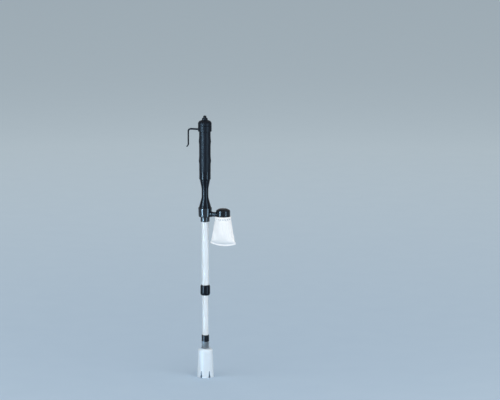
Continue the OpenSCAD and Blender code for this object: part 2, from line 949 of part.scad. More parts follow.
// Barrel shaped nut with a lip at each end, one over each tube
module lock_nut() {
    inner_r = sleeve_r + run_play;
    edge_r = max(nut_r - nut_bevel[0], upper_r + free_gap + nut_lip);
    color(BLACK)
        turned([
            [lower_r + free_gap, nut_z], [edge_r, nut_z, edge], [nut_r, nut_z + nut_bevel[1], nut_round],
            [nut_r, nut_top_z - nut_bevel[1], nut_round], [edge_r, nut_top_z, fine_edge],
            [upper_r + free_gap, nut_top_z], [upper_r + free_gap, nut_top_z - nut_floor],
            [inner_r, nut_top_z - nut_floor], [inner_r, nut_z + nut_floor],
            [lower_r + free_gap, nut_z + nut_floor],
        ]);
}

module lower_tube() {
    color(CLEAR)
        sleeve(lower_r, lower_bore_r, lower_z, lower_top_z);
}

// Ring that keeps the lower tube from leaving the upper one
module tube_stop_ring() {
    color(GREY)
        sleeve(upper_bore_r - run_play, lower_r + seat_play, lower_top_z - stop_l, lower_top_z);
}

// Intake

module nozzle_adapter() {
    color(BLACK)
        turned([
            [adapter_bore_r, nozzle_spigot_z], [nozzle_spigot_r, nozzle_spigot_z, edge],
            [nozzle_spigot_r, adapter_z], [adapter_r, adapter_z, edge],
            [adapter_r, adapter_top_z, edge], [lower_r + seat_play, adapter_top_z, fine_edge],
            [lower_r + seat_play, lower_z], [adapter_bore_r, lower_z],
        ]);
}

// Crossed bars in a ring that keep gravel out of the tube
module gravel_guard() {
    outer = adapter_bore_r - seat_play;
    reach = outer - guard_wall / 2;
    low = nozzle_spigot_z + edge;
    color(BLACK) {
        sleeve(outer, outer - guard_wall, low, low + guard_h);
        for (turn = [0, 90])
            rotate([0, 0, turn])
                translate([-reach, -guard_bar / 2, low])
                    cube([2 * reach, guard_bar, guard_h]);
    }
}

// Slot of the foot, drawn flat: wide at the foot, narrow and round at the top
module slot_shape() {
    round_r = slot_top_w / 2;
    polygon([
        [-slot_w / 2, -CUT], [slot_w / 2, -CUT],
        [round_r, slot_h - round_r], [-round_r, slot_h - round_r],
    ]);
    translate([0, slot_h - round_r])
        circle(round_r);
}

// Bell that stands in the gravel, an even wall from the neck to the slotted foot
module intake_nozzle() {
    slope = (foot_r - shoulder_r) / body_h;
    color(MILKY)
        difference() {
            turned([
                [neck_bore_r, adapter_z],
                [neck_bore_r, shoulder_top_z - nozzle_wall * NECK_DROP, neck_bend + nozzle_wall],
                [shoulder_r - nozzle_wall, shoulder_low_z - nozzle_wall * SHOULDER_DROP,
                 shoulder_bend - nozzle_wall],
                [foot_r - nozzle_wall, foot_z, fine_edge], [foot_r, foot_z, fine_edge],
                [shoulder_r + slope, shoulder_low_z, shoulder_bend],
                [neck_out_r, shoulder_top_z, neck_bend], [neck_out_r, adapter_z, fine_edge],
            ]);
            for (i = [0:slots - 1])
                rotate([0, 0, slot_turn + 360 / slots * i])
                    translate([foot_r, 0, foot_z])
                        rotate([0, 0, 90])
                            upright(foot_r)
                                slot_shape();
        }
}

// Bag

// Domed cap with a spigot for the bag and a socket for the outlet arm
module bag_cap() {
    inner_r = bag_spigot_r - bag_cap_wall;
    inner_top_z = dome_z - bag_cap_wall - fine_edge;
    color(BLACK)
        difference() {
            union() {
                translate([bag_x, 0, 0])
                    difference() {
                        turned([
                            [0, bag_spigot_z], [bag_spigot_r + bead, bag_spigot_z, fine_edge],
                            [bag_spigot_r + bead, bag_spigot_z + bead_h],
                            [bag_spigot_r, bag_spigot_z + 1.5 * bead_h],
                            [bag_spigot_r, skirt_z], [bag_cap_r, skirt_z, fine_edge],
                            [bag_cap_r, dome_z - dome_drop, 4 * broad_edge],
                            [dome_flat_r, dome_z, dome_round], [0, dome_z],
                        ]);
                        turned([
                            [0, bag_spigot_z - CUT], [inner_r, bag_spigot_z - CUT],
                            [inner_r, dome_z - dome_drop - bag_cap_wall, 3 * broad_edge],
                            [dome_flat_r, inner_top_z, dome_round - bag_cap_wall], [0, inner_top_z],
                        ]);
                    }
                intersection() {
                    translate([0, 0, outlet_z])
                        bar_x(boss_r, bag_x - bag_cap_r, outlet_end_x + boss_end);
                    translate([bag_x, 0, 0])
                        hole(bag_spigot_r - bag_cap_wall / 2, bag_spigot_z, dome_z);
                }
            }
            translate([0, 0, outlet_z]) {
                bar_x(outlet_r + run_play, bag_x - bag_cap_r - CUT, outlet_end_x + free_gap);
                bar_x(pocket_r, pocket_x, pocket_x + pocket_l);
                bar_x(outlet_bore_r, outlet_end_x, outlet_end_x + boss_end + CUT);
            }
        }
}

module outlet_seal() {
    color(RUBBER)
        translate([0, 0, outlet_z])
            difference() {
                bar_x(pocket_r - seat_play, pocket_x + seat_play, pocket_x + pocket_l - seat_play);
                bar_x(outlet_r + seat_play, pocket_x - CUT, pocket_x + pocket_l + CUT);
            }
}

// A ring of the bag: level, half width, half depth, share of the dip, gather height, share of the sag
function bag_point(ring, j) =
    let (
        a = 360 * j / BAG_SIDES,
        off = abs(a - 180),
        dip = off < DIP_SPREAD ? pow(cos(off / DIP_SPREAD * 90), 2) : 0,
        fold = ring[4] * cos(GATHERS * a),
        x = (ring[1] + fold) * cos(a),
        y = (ring[2] + fold) * sin(a)
    )
    [bag_x + x, y, ring[0] - ring[3] * dip * hem_dip - ring[5] * bag_sag * pow(sin(a), 2)];

// The cloth widens steadily from the gathers to the seam, and flattens ever faster
function bag_ring(s, inset) = [
    hem_z - bag_l * s,
    gather_r + (bag_w / 2 - gather_r) * s - inset,
    seam_b + (gather_r - seam_b) * (1 - pow(s, FULLNESS)) - inset,
    0,
    gather_h * pow(1 - s, 3),
    pow(s, 4),
];
function hem_ring(z, r, dip = 0, fold = 0) = [z, r, r, dip, fold, 0];

hem_edge_z = hem_top_z - broad_edge;
hem_low_z = hem_z + broad_edge;
bag_outer = concat(
    [
        hem_ring(hem_top_z, hem_out_r - 2 * edge, 1),
        hem_ring(hem_edge_z, hem_out_r - fine_edge, 1),
        hem_ring((hem_top_z + hem_z) / 2, hem_out_r, 0.5, fine_edge / 2),
        hem_ring(hem_low_z, hem_out_r - fine_edge, 0, fine_edge),
        hem_ring(hem_z, gather_r - edge, 0, gather_h),
    ],
    [for (s = BAG_LEVELS) bag_ring(s, 0)],
    [
        [bag_low_z + seam_h, bag_w / 2, seam_b, 0, 0, 1],
        [bag_low_z, bag_w / 2, seam_b, 0, 0, 1],
    ]);
elastic_room = elastic_r + run_play;
channel_r = elastic_ring_r + elastic_room;
bag_inner = concat(
    [for (i = [len(BAG_LEVELS) - 1:-1:0]) bag_ring(BAG_LEVELS[i], cloth_t)],
    [
        hem_ring(hem_z, hem_in_r + fine_edge),
        hem_ring(elastic_z - elastic_room, hem_in_r),
        hem_ring(elastic_z - elastic_room, channel_r),
        hem_ring(elastic_z + elastic_room, channel_r),
        hem_ring(elastic_z + elastic_room, hem_in_r),
        hem_ring(hem_top_z - fine_edge, hem_in_r + fine_edge, 1),
    ]);
// Skin from the bottom of the inside up over the hem and down the outside
bag_rings = concat(bag_inner, bag_outer);

// Faces that close a flat ring of the bag by pairs of points at the same width
function seam_faces(first, turn) =
    let (half = BAG_SIDES / 2)
    [for (j = [0:half - 1])
        let (a = first + j, b = first + j + 1,
             c = first + (BAG_SIDES - j - 1) % BAG_SIDES, d = first + (BAG_SIDES - j) % BAG_SIDES)
        each concat(
            b == c ? [] : [turn ? [a, b, c] : [a, c, b]],
            a == d ? [] : [turn ? [a, c, d] : [a, d, c]])];

// Gathered cloth bag: a hem with a channel for the elastic, a full middle and a flat bottom seam
module filter_bag() {
    rings = len(bag_rings);
    color(CLOTH)
        polyhedron(
            [for (ring = bag_rings, j = [0:BAG_SIDES - 1]) bag_point(ring, j)],
            concat(
                ring_faces(rings, BAG_SIDES),
                seam_faces(0, false),
                seam_faces((rings - 1) * BAG_SIDES, true)));
}

module bag_elastic() {
    color(RUBBER)
        translate([bag_x, 0, elastic_z])
            rotate_extrude()
                translate([elastic_ring_r, 0])
                    circle(elastic_r);
}

handle_tube();
lower_handle();
motor_can();
motor_end_bell();
motor_retainer();
positive_contact();
contact_strip();
battery_lower();
battery_upper();
head_cap();
switch_bezel();
switch_body();
switch_button();
cap_spring();
cap_seal();
hook_collar();
motor_shaft();
shaft_coupling();
drive_shaft();
impeller();
bearing_plate();
shaft_seal();
housing_seal();
pump_housing();
upper_tube();
collet_sleeve();
grip_ring();
lock_nut();
lower_tube();
tube_stop_ring();
nozzle_adapter();
gravel_guard();
intake_nozzle();
bag_cap();
outlet_seal();
filter_bag();
bag_elastic();
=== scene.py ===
"""Looks of a battery powered gravel vacuum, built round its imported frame.

Lengths are in millimetres, apart from the studio's, and become metres when a mesh is made. Heights are on
the frame's Z axis, which is the axis of the tube, and what the frame already knows is read from the boxes of
its nodes.
"""

import logging
import math
from collections.abc import Callable, Sequence
from dataclasses import dataclass, field
from enum import Enum

import bmesh
import bpy
from mathutils import Matrix, Vector


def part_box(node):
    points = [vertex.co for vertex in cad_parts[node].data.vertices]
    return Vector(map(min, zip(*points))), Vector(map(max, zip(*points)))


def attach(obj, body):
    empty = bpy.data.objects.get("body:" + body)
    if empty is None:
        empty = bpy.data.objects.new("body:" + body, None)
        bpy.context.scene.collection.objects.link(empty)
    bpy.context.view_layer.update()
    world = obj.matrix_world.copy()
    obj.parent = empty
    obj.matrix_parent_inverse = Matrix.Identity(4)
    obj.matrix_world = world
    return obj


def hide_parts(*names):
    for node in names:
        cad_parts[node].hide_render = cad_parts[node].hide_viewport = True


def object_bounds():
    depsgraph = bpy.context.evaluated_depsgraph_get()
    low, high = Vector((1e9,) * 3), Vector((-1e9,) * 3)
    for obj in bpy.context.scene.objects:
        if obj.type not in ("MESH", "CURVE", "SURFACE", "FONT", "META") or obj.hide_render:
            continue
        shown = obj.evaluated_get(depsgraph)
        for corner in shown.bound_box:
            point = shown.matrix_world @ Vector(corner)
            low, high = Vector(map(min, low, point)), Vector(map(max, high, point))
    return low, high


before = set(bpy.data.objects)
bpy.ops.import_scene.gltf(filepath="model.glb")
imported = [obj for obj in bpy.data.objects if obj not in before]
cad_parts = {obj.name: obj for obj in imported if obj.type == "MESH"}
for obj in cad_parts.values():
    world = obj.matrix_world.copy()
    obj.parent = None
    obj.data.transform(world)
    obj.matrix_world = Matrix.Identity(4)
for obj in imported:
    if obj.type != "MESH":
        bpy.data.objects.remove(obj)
CAD_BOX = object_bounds()

LOG = logging.getLogger("gravel_vacuum")
MM = 0.001
TINY = 1e-6

Swell = Callable[[float, float, float], float]
Point = tuple[float, float]
Colour = tuple[float, float, float]
Span = tuple[float, float]

# Stretches of a pattern: its marks run along the axis with the small number, and LEVEL leaves out the height
RUBBED = (1, 1, 0.08)
TURNED = (1, 1, 0.05)
DRAWN = (1, 1, 0.01)
SLUBBED = (1, 0.15, 1)
LEVEL = (1, 1, 0)

# Numbers of finer layers in a noise
FEW = 3
SOME = 4
MANY = 5
MOST = 6


class Body(Enum):
    """Bodies of the frame that pieces ride on."""

    HANDLE = "handle"
    CAP = "cap"
    BUTTON = "button"
    HOOK = "hook"
    NUT = "nut"
    LOWER = "lower"
    BAG_HOLDER = "bag_holder"
    BAG = "bag"


class Slot(Enum):
    """Material slots of the record."""

    BLACK_PLASTIC = "black_plastic"
    CLEAR_PLASTIC = "clear_plastic"
    MILKY_PLASTIC = "milky_plastic"
    WHITE_CLOTH = "white_cloth"
    BLACK_RUBBER = "black_rubber"
    STEEL = "steel"
    BRASS = "brass"
    CELL_CASE = "cell_case"
    GREY_PLASTIC = "grey_plastic"


class Reach(Enum):
    """What a lamp lights: whether matt and whether glossy surfaces show it."""

    ALL = (True, True)
    SHINE = (False, True)
    FILL = (True, False)


class Coordinates(Enum):
    """Where a pattern reads its place on a piece."""

    OBJECT = "Object"
    SURFACE = "UV"


class Shader:
    """The node tree of one material, built round its Principled shader."""

    def __init__(self, name: str) -> None:
        """Starts a material.

        Args:
            name: Name of the material.
        """
        self.material = bpy.data.materials.new(name)
        self.material.use_nodes = True
        self.nodes = self.material.node_tree.nodes
        self.links = self.material.node_tree.links
        self.principled = self.nodes["Principled BSDF"]

    def set(self, **values: float | Sequence[float]) -> None:
        """Sets the shader's own sockets.

        Args:
            values: Socket names in lower case with underscores, and their values.
        """
        for name, value in values.items():
            socket = self.socket(name)
            socket.default_value = (*value, 1.0) if socket.type == "RGBA" else value

    def socket(self, name: str) -> bpy.types.NodeSocket:
        """Finds a socket of the shader by its name in lower case with underscores."""
        plain = name.replace("_", " ")
        return next(s for s in self.principled.inputs if s.name.lower() == plain)

    def feed(self, name: str, output: bpy.types.NodeSocket) -> None:
        """Links an output to the socket of the shader that has this name."""
        self.links.new(output, self.socket(name))

    def place(self, source: Coordinates, scale: Sequence[float] = (1, 1, 1)) -> bpy.types.NodeSocket:
        """Gives the coordinates of a pattern.

        Args:
            source: Where the pattern reads its place.
            scale: Stretch of the pattern on each axis.

        Returns:
            The coordinates.
        """
        coordinates = self.nodes.new("ShaderNodeTexCoord")
        mapping = self.nodes.new("ShaderNodeMapping")
        mapping.inputs["Scale"].default_value = scale
        self.links.new(coordinates.outputs[source.value], mapping.inputs["Vector"])
        return mapping.outputs["Vector"]

    def noise(self, place: bpy.types.NodeSocket, size: float, detail: float = SOME) -> bpy.types.NodeSocket:
        """Makes noise from 0 to 1.

        Args:
            place: Coordinates of the pattern.
            size: Size of its largest spots, in millimetres.
            detail: Number of finer layers.

        Returns:
            The noise.
        """
        node = self.nodes.new("ShaderNodeTexNoise")
        node.inputs["Scale"].default_value = 1 / (size * MM)
        node.inputs["Detail"].default_value = detail
        self.links.new(place, node.inputs["Vector"])
        return node.outputs[0]

    def spread(
        self,
        value: bpy.types.NodeSocket,
        low: float,
        high: float,
        span: Span = (0.3, 0.7),
    ) -> bpy.types.NodeSocket:
        """Spreads a stretch of a pattern over a range.

        Args:
            value: The pattern.
            low: What the start of the stretch becomes.
            high: What its end becomes.
            span: The stretch, which is the middle of a noise if not given.

        Returns:
            The spread pattern.
        """
        node = self.nodes.new("ShaderNodeMapRange")
        settings = {"From Min": span[0], "From Max": span[1], "To Min": low, "To Max": high}
        for name, number in settings.items():
            node.inputs[name].default_value = number
        self.links.new(value, node.inputs["Value"])
        return node.outputs["Result"]

    def blend(self, value: bpy.types.NodeSocket, dark: Colour, light: Colour) -> bpy.types.NodeSocket:
        """Mixes two colours by a pattern.

        Args:
            value: Pattern from 0 to 1.
            dark: Colour of its dark parts.
            light: Colour of its light parts.

        Returns:
            The colour.
        """
        node = self.nodes.new("ShaderNodeMix")
        node.data_type = "RGBA"
        colours = [s for s in node.inputs if s.type == "RGBA"]
        for socket, colour in zip(colours, (dark, light)):
            socket.default_value = (*colour, 1.0)
        self.links.new(value, node.inputs["Factor"])
        return next(s for s in node.outputs if s.type == "RGBA")

    def math(self, operation: str, *values: bpy.types.NodeSocket | float) -> bpy.types.NodeSocket:
        """Does one sum.

        Args:
            operation: Name of the operation.
            values: Numbers or outputs that it takes.

        Returns:
            The result.
        """
        node = self.nodes.new("ShaderNodeMath")
        node.operation = operation
        for socket, value in zip(node.inputs, values):
            if isinstance(value, (int, float)):
                socket.default_value = value
            else:
                self.links.new(value, socket)
        return node.outputs[0]

    def distance(self, place: bpy.types.NodeSocket) -> bpy.types.NodeSocket:
        """Measures how far a place is from the origin.

        Args:
            place: Coordinates of the pattern.

        Returns:
            The distance.
        """
        node = self.nodes.new("ShaderNodeVectorMath")
        node.operation = "LENGTH"
        self.links.new(place, node.inputs[0])
        return node.outputs["Value"]

    def relief(self, *layers: tuple[bpy.types.NodeSocket, float, float]) -> None:
        """Gives the surface a relief.

        Args:
            layers: Each a height pattern, its depth in millimetres and its strength.
        """
        normal = None
        for height, depth, strength in layers:
            node = self.nodes.new("ShaderNodeBump")
            node.inputs["Strength"].default_value = strength
            node.inputs["Distance"].default_value = depth * MM
            self.links.new(height, node.inputs["Height"])
            if normal is not None:
                self.links.new(normal, node.inputs["Normal"])
            normal = node.outputs["Normal"]
        self.feed("normal", normal)


@dataclass(frozen=True)
class Finish:
    """What every finish has: a name, a slot of the record and the colours of its dark and light parts."""

    name: str
    slot: Slot
    dark: Colour
    light: Colour

    def make(self) -> bpy.types.Material:
        """Builds the material."""
        raise NotImplementedError


@dataclass(frozen=True)
class Moulded(Finish):
    """Moulded plastic or rubber: a fine grain, soft flow marks and faint rub marks along the piece."""

    gloss: Span
    shine: float = 0.5
    grain: float = 0.6
    grain_depth: float = 0.005
    grain_relief: float = 0.1
    flow: float = 26.0
    flow_depth: float = 0.2
    flow_relief: float = 0.01
    rub: float = 1.6
    rub_share: float = 0.6

    def make(self) -> bpy.types.Material:
        """Builds the material.

        Returns:
            The material.
        """
        shader = Shader(self.name)
        place = shader.place(Coordinates.OBJECT)
        flow = shader.noise(place, self.flow)
        rub = shader.noise(shader.place(Coordinates.OBJECT, RUBBED), self.rub, MOST)
        grain = shader.noise(place, self.grain, FEW)
        shader.set(specular_ior_level=self.shine)
        shader.feed("base_color", shader.blend(flow, self.dark, self.light))
        even = shader.math("MULTIPLY", flow, 1 - self.rub_share)
        mixed = shader.math("MULTIPLY_ADD", rub, self.rub_share, even)
        shader.feed("roughness", shader.spread(mixed, *self.gloss))
        shader.relief((flow, self.flow_depth, self.flow_relief), (grain, self.grain_depth, self.grain_relief))
        return shader.material


@dataclass(frozen=True)
class Translucent(Finish):
    """Plastic that light goes through, with faint drawing lines along the piece and a little haze.

    A clear part lies within a radius round Z, and fades out over a range of radii in millimetres.
    """

    gloss: Span
    through: float
    shine: float = 0.5
    bend: float = 1.45
    clear_within: Span | None = None
    clear_through: float = 0.95
    lines: float = 1.2
    lines_depth: float = 0.015
    lines_relief: float = 0.15
    haze: float = 30.0
    haze_depth: float = 0.2
    haze_relief: float = 0.015

    def make(self) -> bpy.types.Material:
        """Builds the material.

        Returns:
            The material.
        """
        shader = Shader(self.name)
        lines = shader.noise(shader.place(Coordinates.OBJECT, DRAWN), self.lines, FEW)
        haze = shader.noise(shader.place(Coordinates.OBJECT), self.haze)
        shader.set(transmission_weight=self.through, ior=self.bend, specular_ior_level=self.shine)
        if self.clear_within:
            radius = shader.distance(shader.place(Coordinates.OBJECT, LEVEL))
            span = tuple(r * MM for r in self.clear_within)
            clear = shader.spread(radius, self.clear_through, self.through, span)
            shader.feed("transmission_weight", clear)
        shader.feed("base_color", shader.blend(haze, self.dark, self.light))
        shader.feed("roughness", shader.spread(haze, *self.gloss))
        shader.relief((lines, self.lines_depth, self.lines_relief), (haze, self.haze_depth, self.haze_relief))
        return shader.material


@dataclass(frozen=True)
class Woven(Finish):
    """Fine plain-woven filter cloth, with thread that varies a little and a soft sheen."""

    gloss: Span = (0.78, 0.92)
    shine: float = 0.3
    sheen: float = 0.2
    sheen_spread: float = 0.5
    thread: float = 0.5
    thread_depth: float = 0.08
    thread_relief: float = 0.3
    thread_share: float = 0.3
    slub: float = 2.2
    slub_depth: float = 0.06
    slub_relief: float = 0.25
    cloud: float = 18.0
    cloud_depth: float = 0.4
    cloud_relief: float = 0.05

    def make(self) -> bpy.types.Material:
        """Builds the material.

        Returns:
            The material.
        """
        shader = Shader(self.name)
        split = shader.nodes.new("ShaderNodeSeparateXYZ")
        shader.links.new(shader.place(Coordinates.SURFACE), split.inputs["Vector"])
        step = math.pi / (self.thread * MM)
        warp = shader.math("SINE", shader.math("MULTIPLY", split.outputs["X"], step))
        weft = shader.math("SINE", shader.math("MULTIPLY", split.outputs["Y"], step))
        weave = shader.math("MULTIPLY_ADD", shader.math("MULTIPLY", warp, weft), 0.5, 0.5)
        slub = shader.noise(shader.place(Coordinates.SURFACE, SLUBBED), self.slub, MANY)
        cloud = shader.noise(shader.place(Coordinates.OBJECT), self.cloud)
        uneven = shader.math("MULTIPLY", slub, 1 - self.thread_share)
        tone = shader.math("MULTIPLY_ADD", weave, self.thread_share, uneven)
        shader.set(sheen_weight=self.sheen, sheen_roughness=self.sheen_spread, specular_ior_level=self.shine)
        shader.feed("base_color", shader.blend(tone, self.dark, self.light))
        shader.feed("roughness", shader.spread(cloud, *self.gloss))
        shader.relief(
            (cloud, self.cloud_depth, self.cloud_relief),
            (weave, self.thread_depth, self.thread_relief),
            (slub, self.slub_depth, self.slub_relief),
        )
        return shader.material


@dataclass(frozen=True)
class Metal(Finish):
    """Turned or drawn metal with fine marks along the piece."""

    gloss: Span
    marks: float = 0.8
    marks_depth: float = 0.01
    marks_relief: float = 0.3
    cloud: float = 9.0

    def make(self) -> bpy.types.Material:
        """Builds the material.

        Returns:
            The material.
        """
        shader = Shader(self.name)
        marks = shader.noise(shader.place(Coordinates.OBJECT, TURNED), self.marks, MOST)
        cloud = shader.noise(shader.place(Coordinates.OBJECT), self.cloud)
        shader.set(metallic=1.0)
        shader.feed("base_color", shader.blend(cloud, self.dark, self.light))
        shader.feed("roughness", shader.spread(marks, *self.gloss))
        shader.relief((marks, self.marks_depth, self.marks_relief))
        return shader.material


# Near-black moulding colours; their blue cast is a painted reflection of blue surroundings
JET: tuple[Colour, Colour] = ((0.0030, 0.0046, 0.0085), (0.0045, 0.0068, 0.0125))
SATIN_BLACK = Moulded("satin_black", Slot.BLACK_PLASTIC, *JET, (0.40, 0.48), 0.12)
MATT_BLACK = Moulded("matt_black", Slot.BLACK_PLASTIC, *JET, (0.5, 0.6), 0.04)
STEM_BLACK = Moulded("stem_black", Slot.BLACK_PLASTIC, *JET, (0.18, 0.24), 0.14)
CAP_BLACK = Moulded("cap_black", Slot.BLACK_PLASTIC, *JET, (0.16, 0.22), 0.24)
GLOSS_BLACK = Moulded("gloss_black", Slot.BLACK_PLASTIC, *JET, (0.20, 0.26), 0.5)
RUBBER = Moulded("rubber", Slot.BLACK_RUBBER, (0.006, 0.006, 0.007), (0.010, 0.010, 0.011), (0.45, 0.6), 0.12)
GREY = Moulded("grey_plastic", Slot.GREY_PLASTIC, (0.26, 0.27, 0.28), (0.34, 0.35, 0.36), (0.35, 0.5))
CELL = Moulded("cell_case", Slot.CELL_CASE, (0.07, 0.09, 0.12), (0.10, 0.12, 0.16), (0.3, 0.42))
CLEAR = Translucent(
    "clear_tube", Slot.CLEAR_PLASTIC, (0.91, 0.95, 0.97), (0.95, 0.97, 0.98), (0.12, 0.2), 0.35, shine=0.12,
)
MILKY = Translucent(
    "milky_bell", Slot.MILKY_PLASTIC, (0.80, 0.89, 0.96), (0.86, 0.93, 0.97), (0.28, 0.36), 0.2,
    clear_within=(13.0, 17.0),
)
CLOTH = Woven("filter_cloth", Slot.WHITE_CLOTH, (0.86, 0.86, 0.86), (0.94, 0.94, 0.93))
# Blue-grey for the row along the hem's gathers: partly the elastic's thread showing through, partly painted
# shade of the puckers
THREAD_AND_PUCKER_SHADE = Woven("gather_thread_and_shade", Slot.WHITE_CLOTH, (0.18, 0.28, 0.38), (0.28, 0.38, 0.47))
STEEL = Metal("steel", Slot.STEEL, (0.50, 0.51, 0.53), (0.62, 0.63, 0.65), (0.22, 0.4))
BRASS = Metal("brass", Slot.BRASS, (0.62, 0.45, 0.18), (0.72, 0.55, 0.25), (0.2, 0.38))

INNER_NODES: dict[Finish, tuple[str, ...]] = {
    GLOSS_BLACK: ("gravel_guard",),
    RUBBER: ("cap_seal", "shaft_seal", "housing_seal", "grip_ring", "outlet_seal", "bag_elastic"),
    STEEL: ("motor_can", "motor_shaft", "drive_shaft", "cap_spring"),
    BRASS: ("positive_contact", "contact_strip", "shaft_coupling"),
    CELL: ("battery_lower", "battery_upper"),
    GREY: (
        "motor_end_bell", "motor_retainer", "switch_body", "impeller", "bearing_plate",
        "collet_sleeve", "tube_stop_ring",
    ),
}

MATERIALS: dict[Finish, bpy.types.Material] = {}


def material(finish: Finish) -> bpy.types.Material:
    """Gives the material of a finish, made the first time that it is asked for.

    Args:
        finish: The finish.

    Returns:
        The material.
    """
    if finish not in MATERIALS:
        MATERIALS[finish] = finish.make()
    return MATERIALS[finish]


@dataclass(frozen=True)
class Corner:
    """A corner of an outline and how far it is rounded."""

    x: float
    y: float
    round: float = 0.0


@dataclass(frozen=True)
class Extent:
    """The box of a frame node, in millimetres."""

    low: Vector
    high: Vector

    @classmethod
    def of(cls, node: str) -> "Extent":
        """Reads the box of the node of this name."""
        low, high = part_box(node)
        return cls(low / MM, high / MM)

    @property
    def bottom(self) -> float:
        """Lowest level."""
        return self.low.z

    @property
    def top(self) -> float:
        """Highest level."""
        return self.high.z

    @property
    def radius(self) -> float:
        """Half the depth, which is the radius of a round piece."""
        return (self.high.y - self.low.y) / 2

    @property
    def middle_x(self) -> float:
        """Middle of the width."""
        return (self.low.x + self.high.x) / 2


def box_of(node: str) -> Extent:
    """Gives the size field of a class that reads the box of the node of this name."""
    return field(default_factory=lambda: Extent.of(node))


# How finely outlines are drawn, from which angle an edge is sharp, and how much of a run a rounding takes
ARC_STEP = math.radians(9)
SUPPORT = 0.35
LONGEST = 7.0
SEGMENTS = 128
SHARP = math.radians(34)
MOST_ROUNDED = 0.49

# Roundings of moulded edges, and the play of pieces that are pressed together
HAIR = 0.1
CRISP = 0.2
THIN = 0.25
FINE = 0.3
PLAIN = 0.4
EASED = 0.5
SOFT = 0.8
ROUND = 0.9
FULL = 1.3
FIT = 0.04


def rounded(corners: Sequence[Corner]) -> list[Vector]:
    """Rounds the corners of a closed outline.

    Args:
        corners: The outline's corners in order.

    Returns:
        Points with an arc in place of each rounded corner.
    """
    points: list[Vector] = []
    for before, at, after in zip((corners[-1], *corners), corners, (*corners[1:], corners[0])):
        here = Vector((at.x, at.y))
        if at.round <= 0:
            points.append(here)
            continue
        back = Vector((before.x, before.y)) - here
        on = Vector((after.x, after.y)) - here
        half = back.angle(on) / 2
        radius = min(at.round, MOST_ROUNDED * min(back.length, on.length) * math.tan(half))
        back.normalize()
        on.normalize()
        centre = here + (back + on).normalized() * radius / math.sin(half)
        start = here + back * radius / math.tan(half) - centre
        sweep = math.copysign(math.pi - 2 * half, -back.cross(on))
        steps = max(2, math.ceil(abs(sweep) / ARC_STEP))
        points += [centre + Matrix.Rotation(sweep * i / steps, 2) @ start for i in range(steps + 1)]
    return points


def divided(points: Sequence[Vector]) -> list[Vector]:
    """Divides the long straight runs of a closed outline, with a point close to each end.

    Args:
        points: The outline's points.

    Returns:
        The points with those between them.
    """
    result: list[Vector] = []
    for start, end in zip(points, (*points[1:], points[0])):
        result.append(start)
        length = (end - start).length
        if length < 4 * SUPPORT:
            continue
        inner = length - 2 * SUPPORT
        steps = max(1, math.ceil(inner / LONGEST))
        result += [start.lerp(end, (SUPPORT + inner * i / steps) / length) for i in range(steps + 1)]
    return result


def smooth(mesh: bpy.types.Mesh) -> None:
    """Shades a mesh smoothly, apart from its sharp edges."""
    mesh.polygons.foreach_set("use_smooth", [True] * len(mesh.polygons))
    mesh.set_sharp_from_angle(angle=SHARP)


def piece_of(name: str, shape: bmesh.types.BMesh) -> bpy.types.Object:
    """Turns a shape in millimetres into an object of the scene.

    Args:
        name: Name of the object.
        shape: The shape, which is used up.

    Returns:
        The object.
    """
    bmesh.ops.scale(shape, vec=Vector((MM, MM, MM)), verts=shape.verts)
    mesh = bpy.data.meshes.new(name)
    shape.to_mesh(mesh)
    shape.free()
    smooth(mesh)
    piece = bpy.data.objects.new(name, mesh)
    bpy.context.scene.collection.objects.link(piece)
    return piece


def turned(
    name: str,
    corners: Sequence[Corner],
    swell: Swell | None = None,
    place: Matrix | None = None,
) -> bpy.types.Object:
    """Turns an outline of radius and height round Z.

    Args:
        name: Name of the object.
        corners: The outline, where x is the radius and y the height.
        swell: Changes a radius by its height and angle.
        place: Moves the turned shape.

    Returns:
        The object.
    """
    shape = bmesh.new()
    rings: list[list[bmesh.types.BMVert]] = []
    for point in divided(rounded(corners)):
        if point.x < TINY:
            rings.append([shape.verts.new((0, 0, point.y))] * SEGMENTS)
            continue
        ring = []
        for i in range(SEGMENTS):
            angle = math.tau * i / SEGMENTS
            radius = swell(point.x, point.y, angle) if swell else point.x
            ring.append(shape.verts.new((radius * math.cos(angle), radius * math.sin(angle), point.y)))
        rings.append(ring)
    for ring, following in zip(rings, (*rings[1:], rings[0])):
        for i in range(SEGMENTS):
            j = (i + 1) % SEGMENTS
            face = dict.fromkeys((ring[i], ring[j], following[j], following[i]))
            if len(face) > 2:
                shape.faces.new(face)
    bmesh.ops.recalc_face_normals(shape, faces=shape.faces)
    if place is not None:
        bmesh.ops.transform(shape, matrix=place, verts=shape.verts)
    return piece_of(name, shape)


def slab(near: Sequence[Vector], far: Sequence[Vector]) -> bmesh.types.BMesh:
    """Joins two equal outlines that face each other into a closed shape.

    Args:
        near: Points of the first outline.
        far: Points of the second.

    Returns:
        The shape, whose first two faces are the outlines.
    """
    shape = bmesh.new()
    sides = [[shape.verts.new(point) for point in outline] for outline in (near, far)]
    shape.faces.new(sides[0])
    shape.faces.new(reversed(sides[1]))
    for i in range(len(near)):
        j = (i + 1) % len(near)
        shape.faces.new((sides[0][j], sides[0][i], sides[1][i], sides[1][j]))
    bmesh.ops.recalc_face_normals(shape, faces=shape.faces)
    shape.faces.ensure_lookup_table()
    return shape


def sideways(level: float) -> Matrix:
    """Turns what is made round Z onto a line along X at some level."""
    return Matrix.Translation((0, 0, level)) @ Matrix.Rotation(math.pi / 2, 4, "Y")


def waves(at: float, *parts: tuple[float, float, float]) -> float:
    """Adds up sine waves, each with its height, its pace and its start."""
    return sum(height * math.sin(pace * at + start) for height, pace, start in parts)


def settle(piece: bpy.types.Object) -> None:
    """Makes what the modifiers of a piece show its plain mesh.

    Args:
        piece: The piece.
    """
    graph = bpy.context.evaluated_depsgraph_get()
    mesh = bpy.data.meshes.new_from_object(piece.evaluated_get(graph))
    piece.modifiers.clear()
    old = piece.data
    piece.data = mesh
    bpy.data.meshes.remove(old)


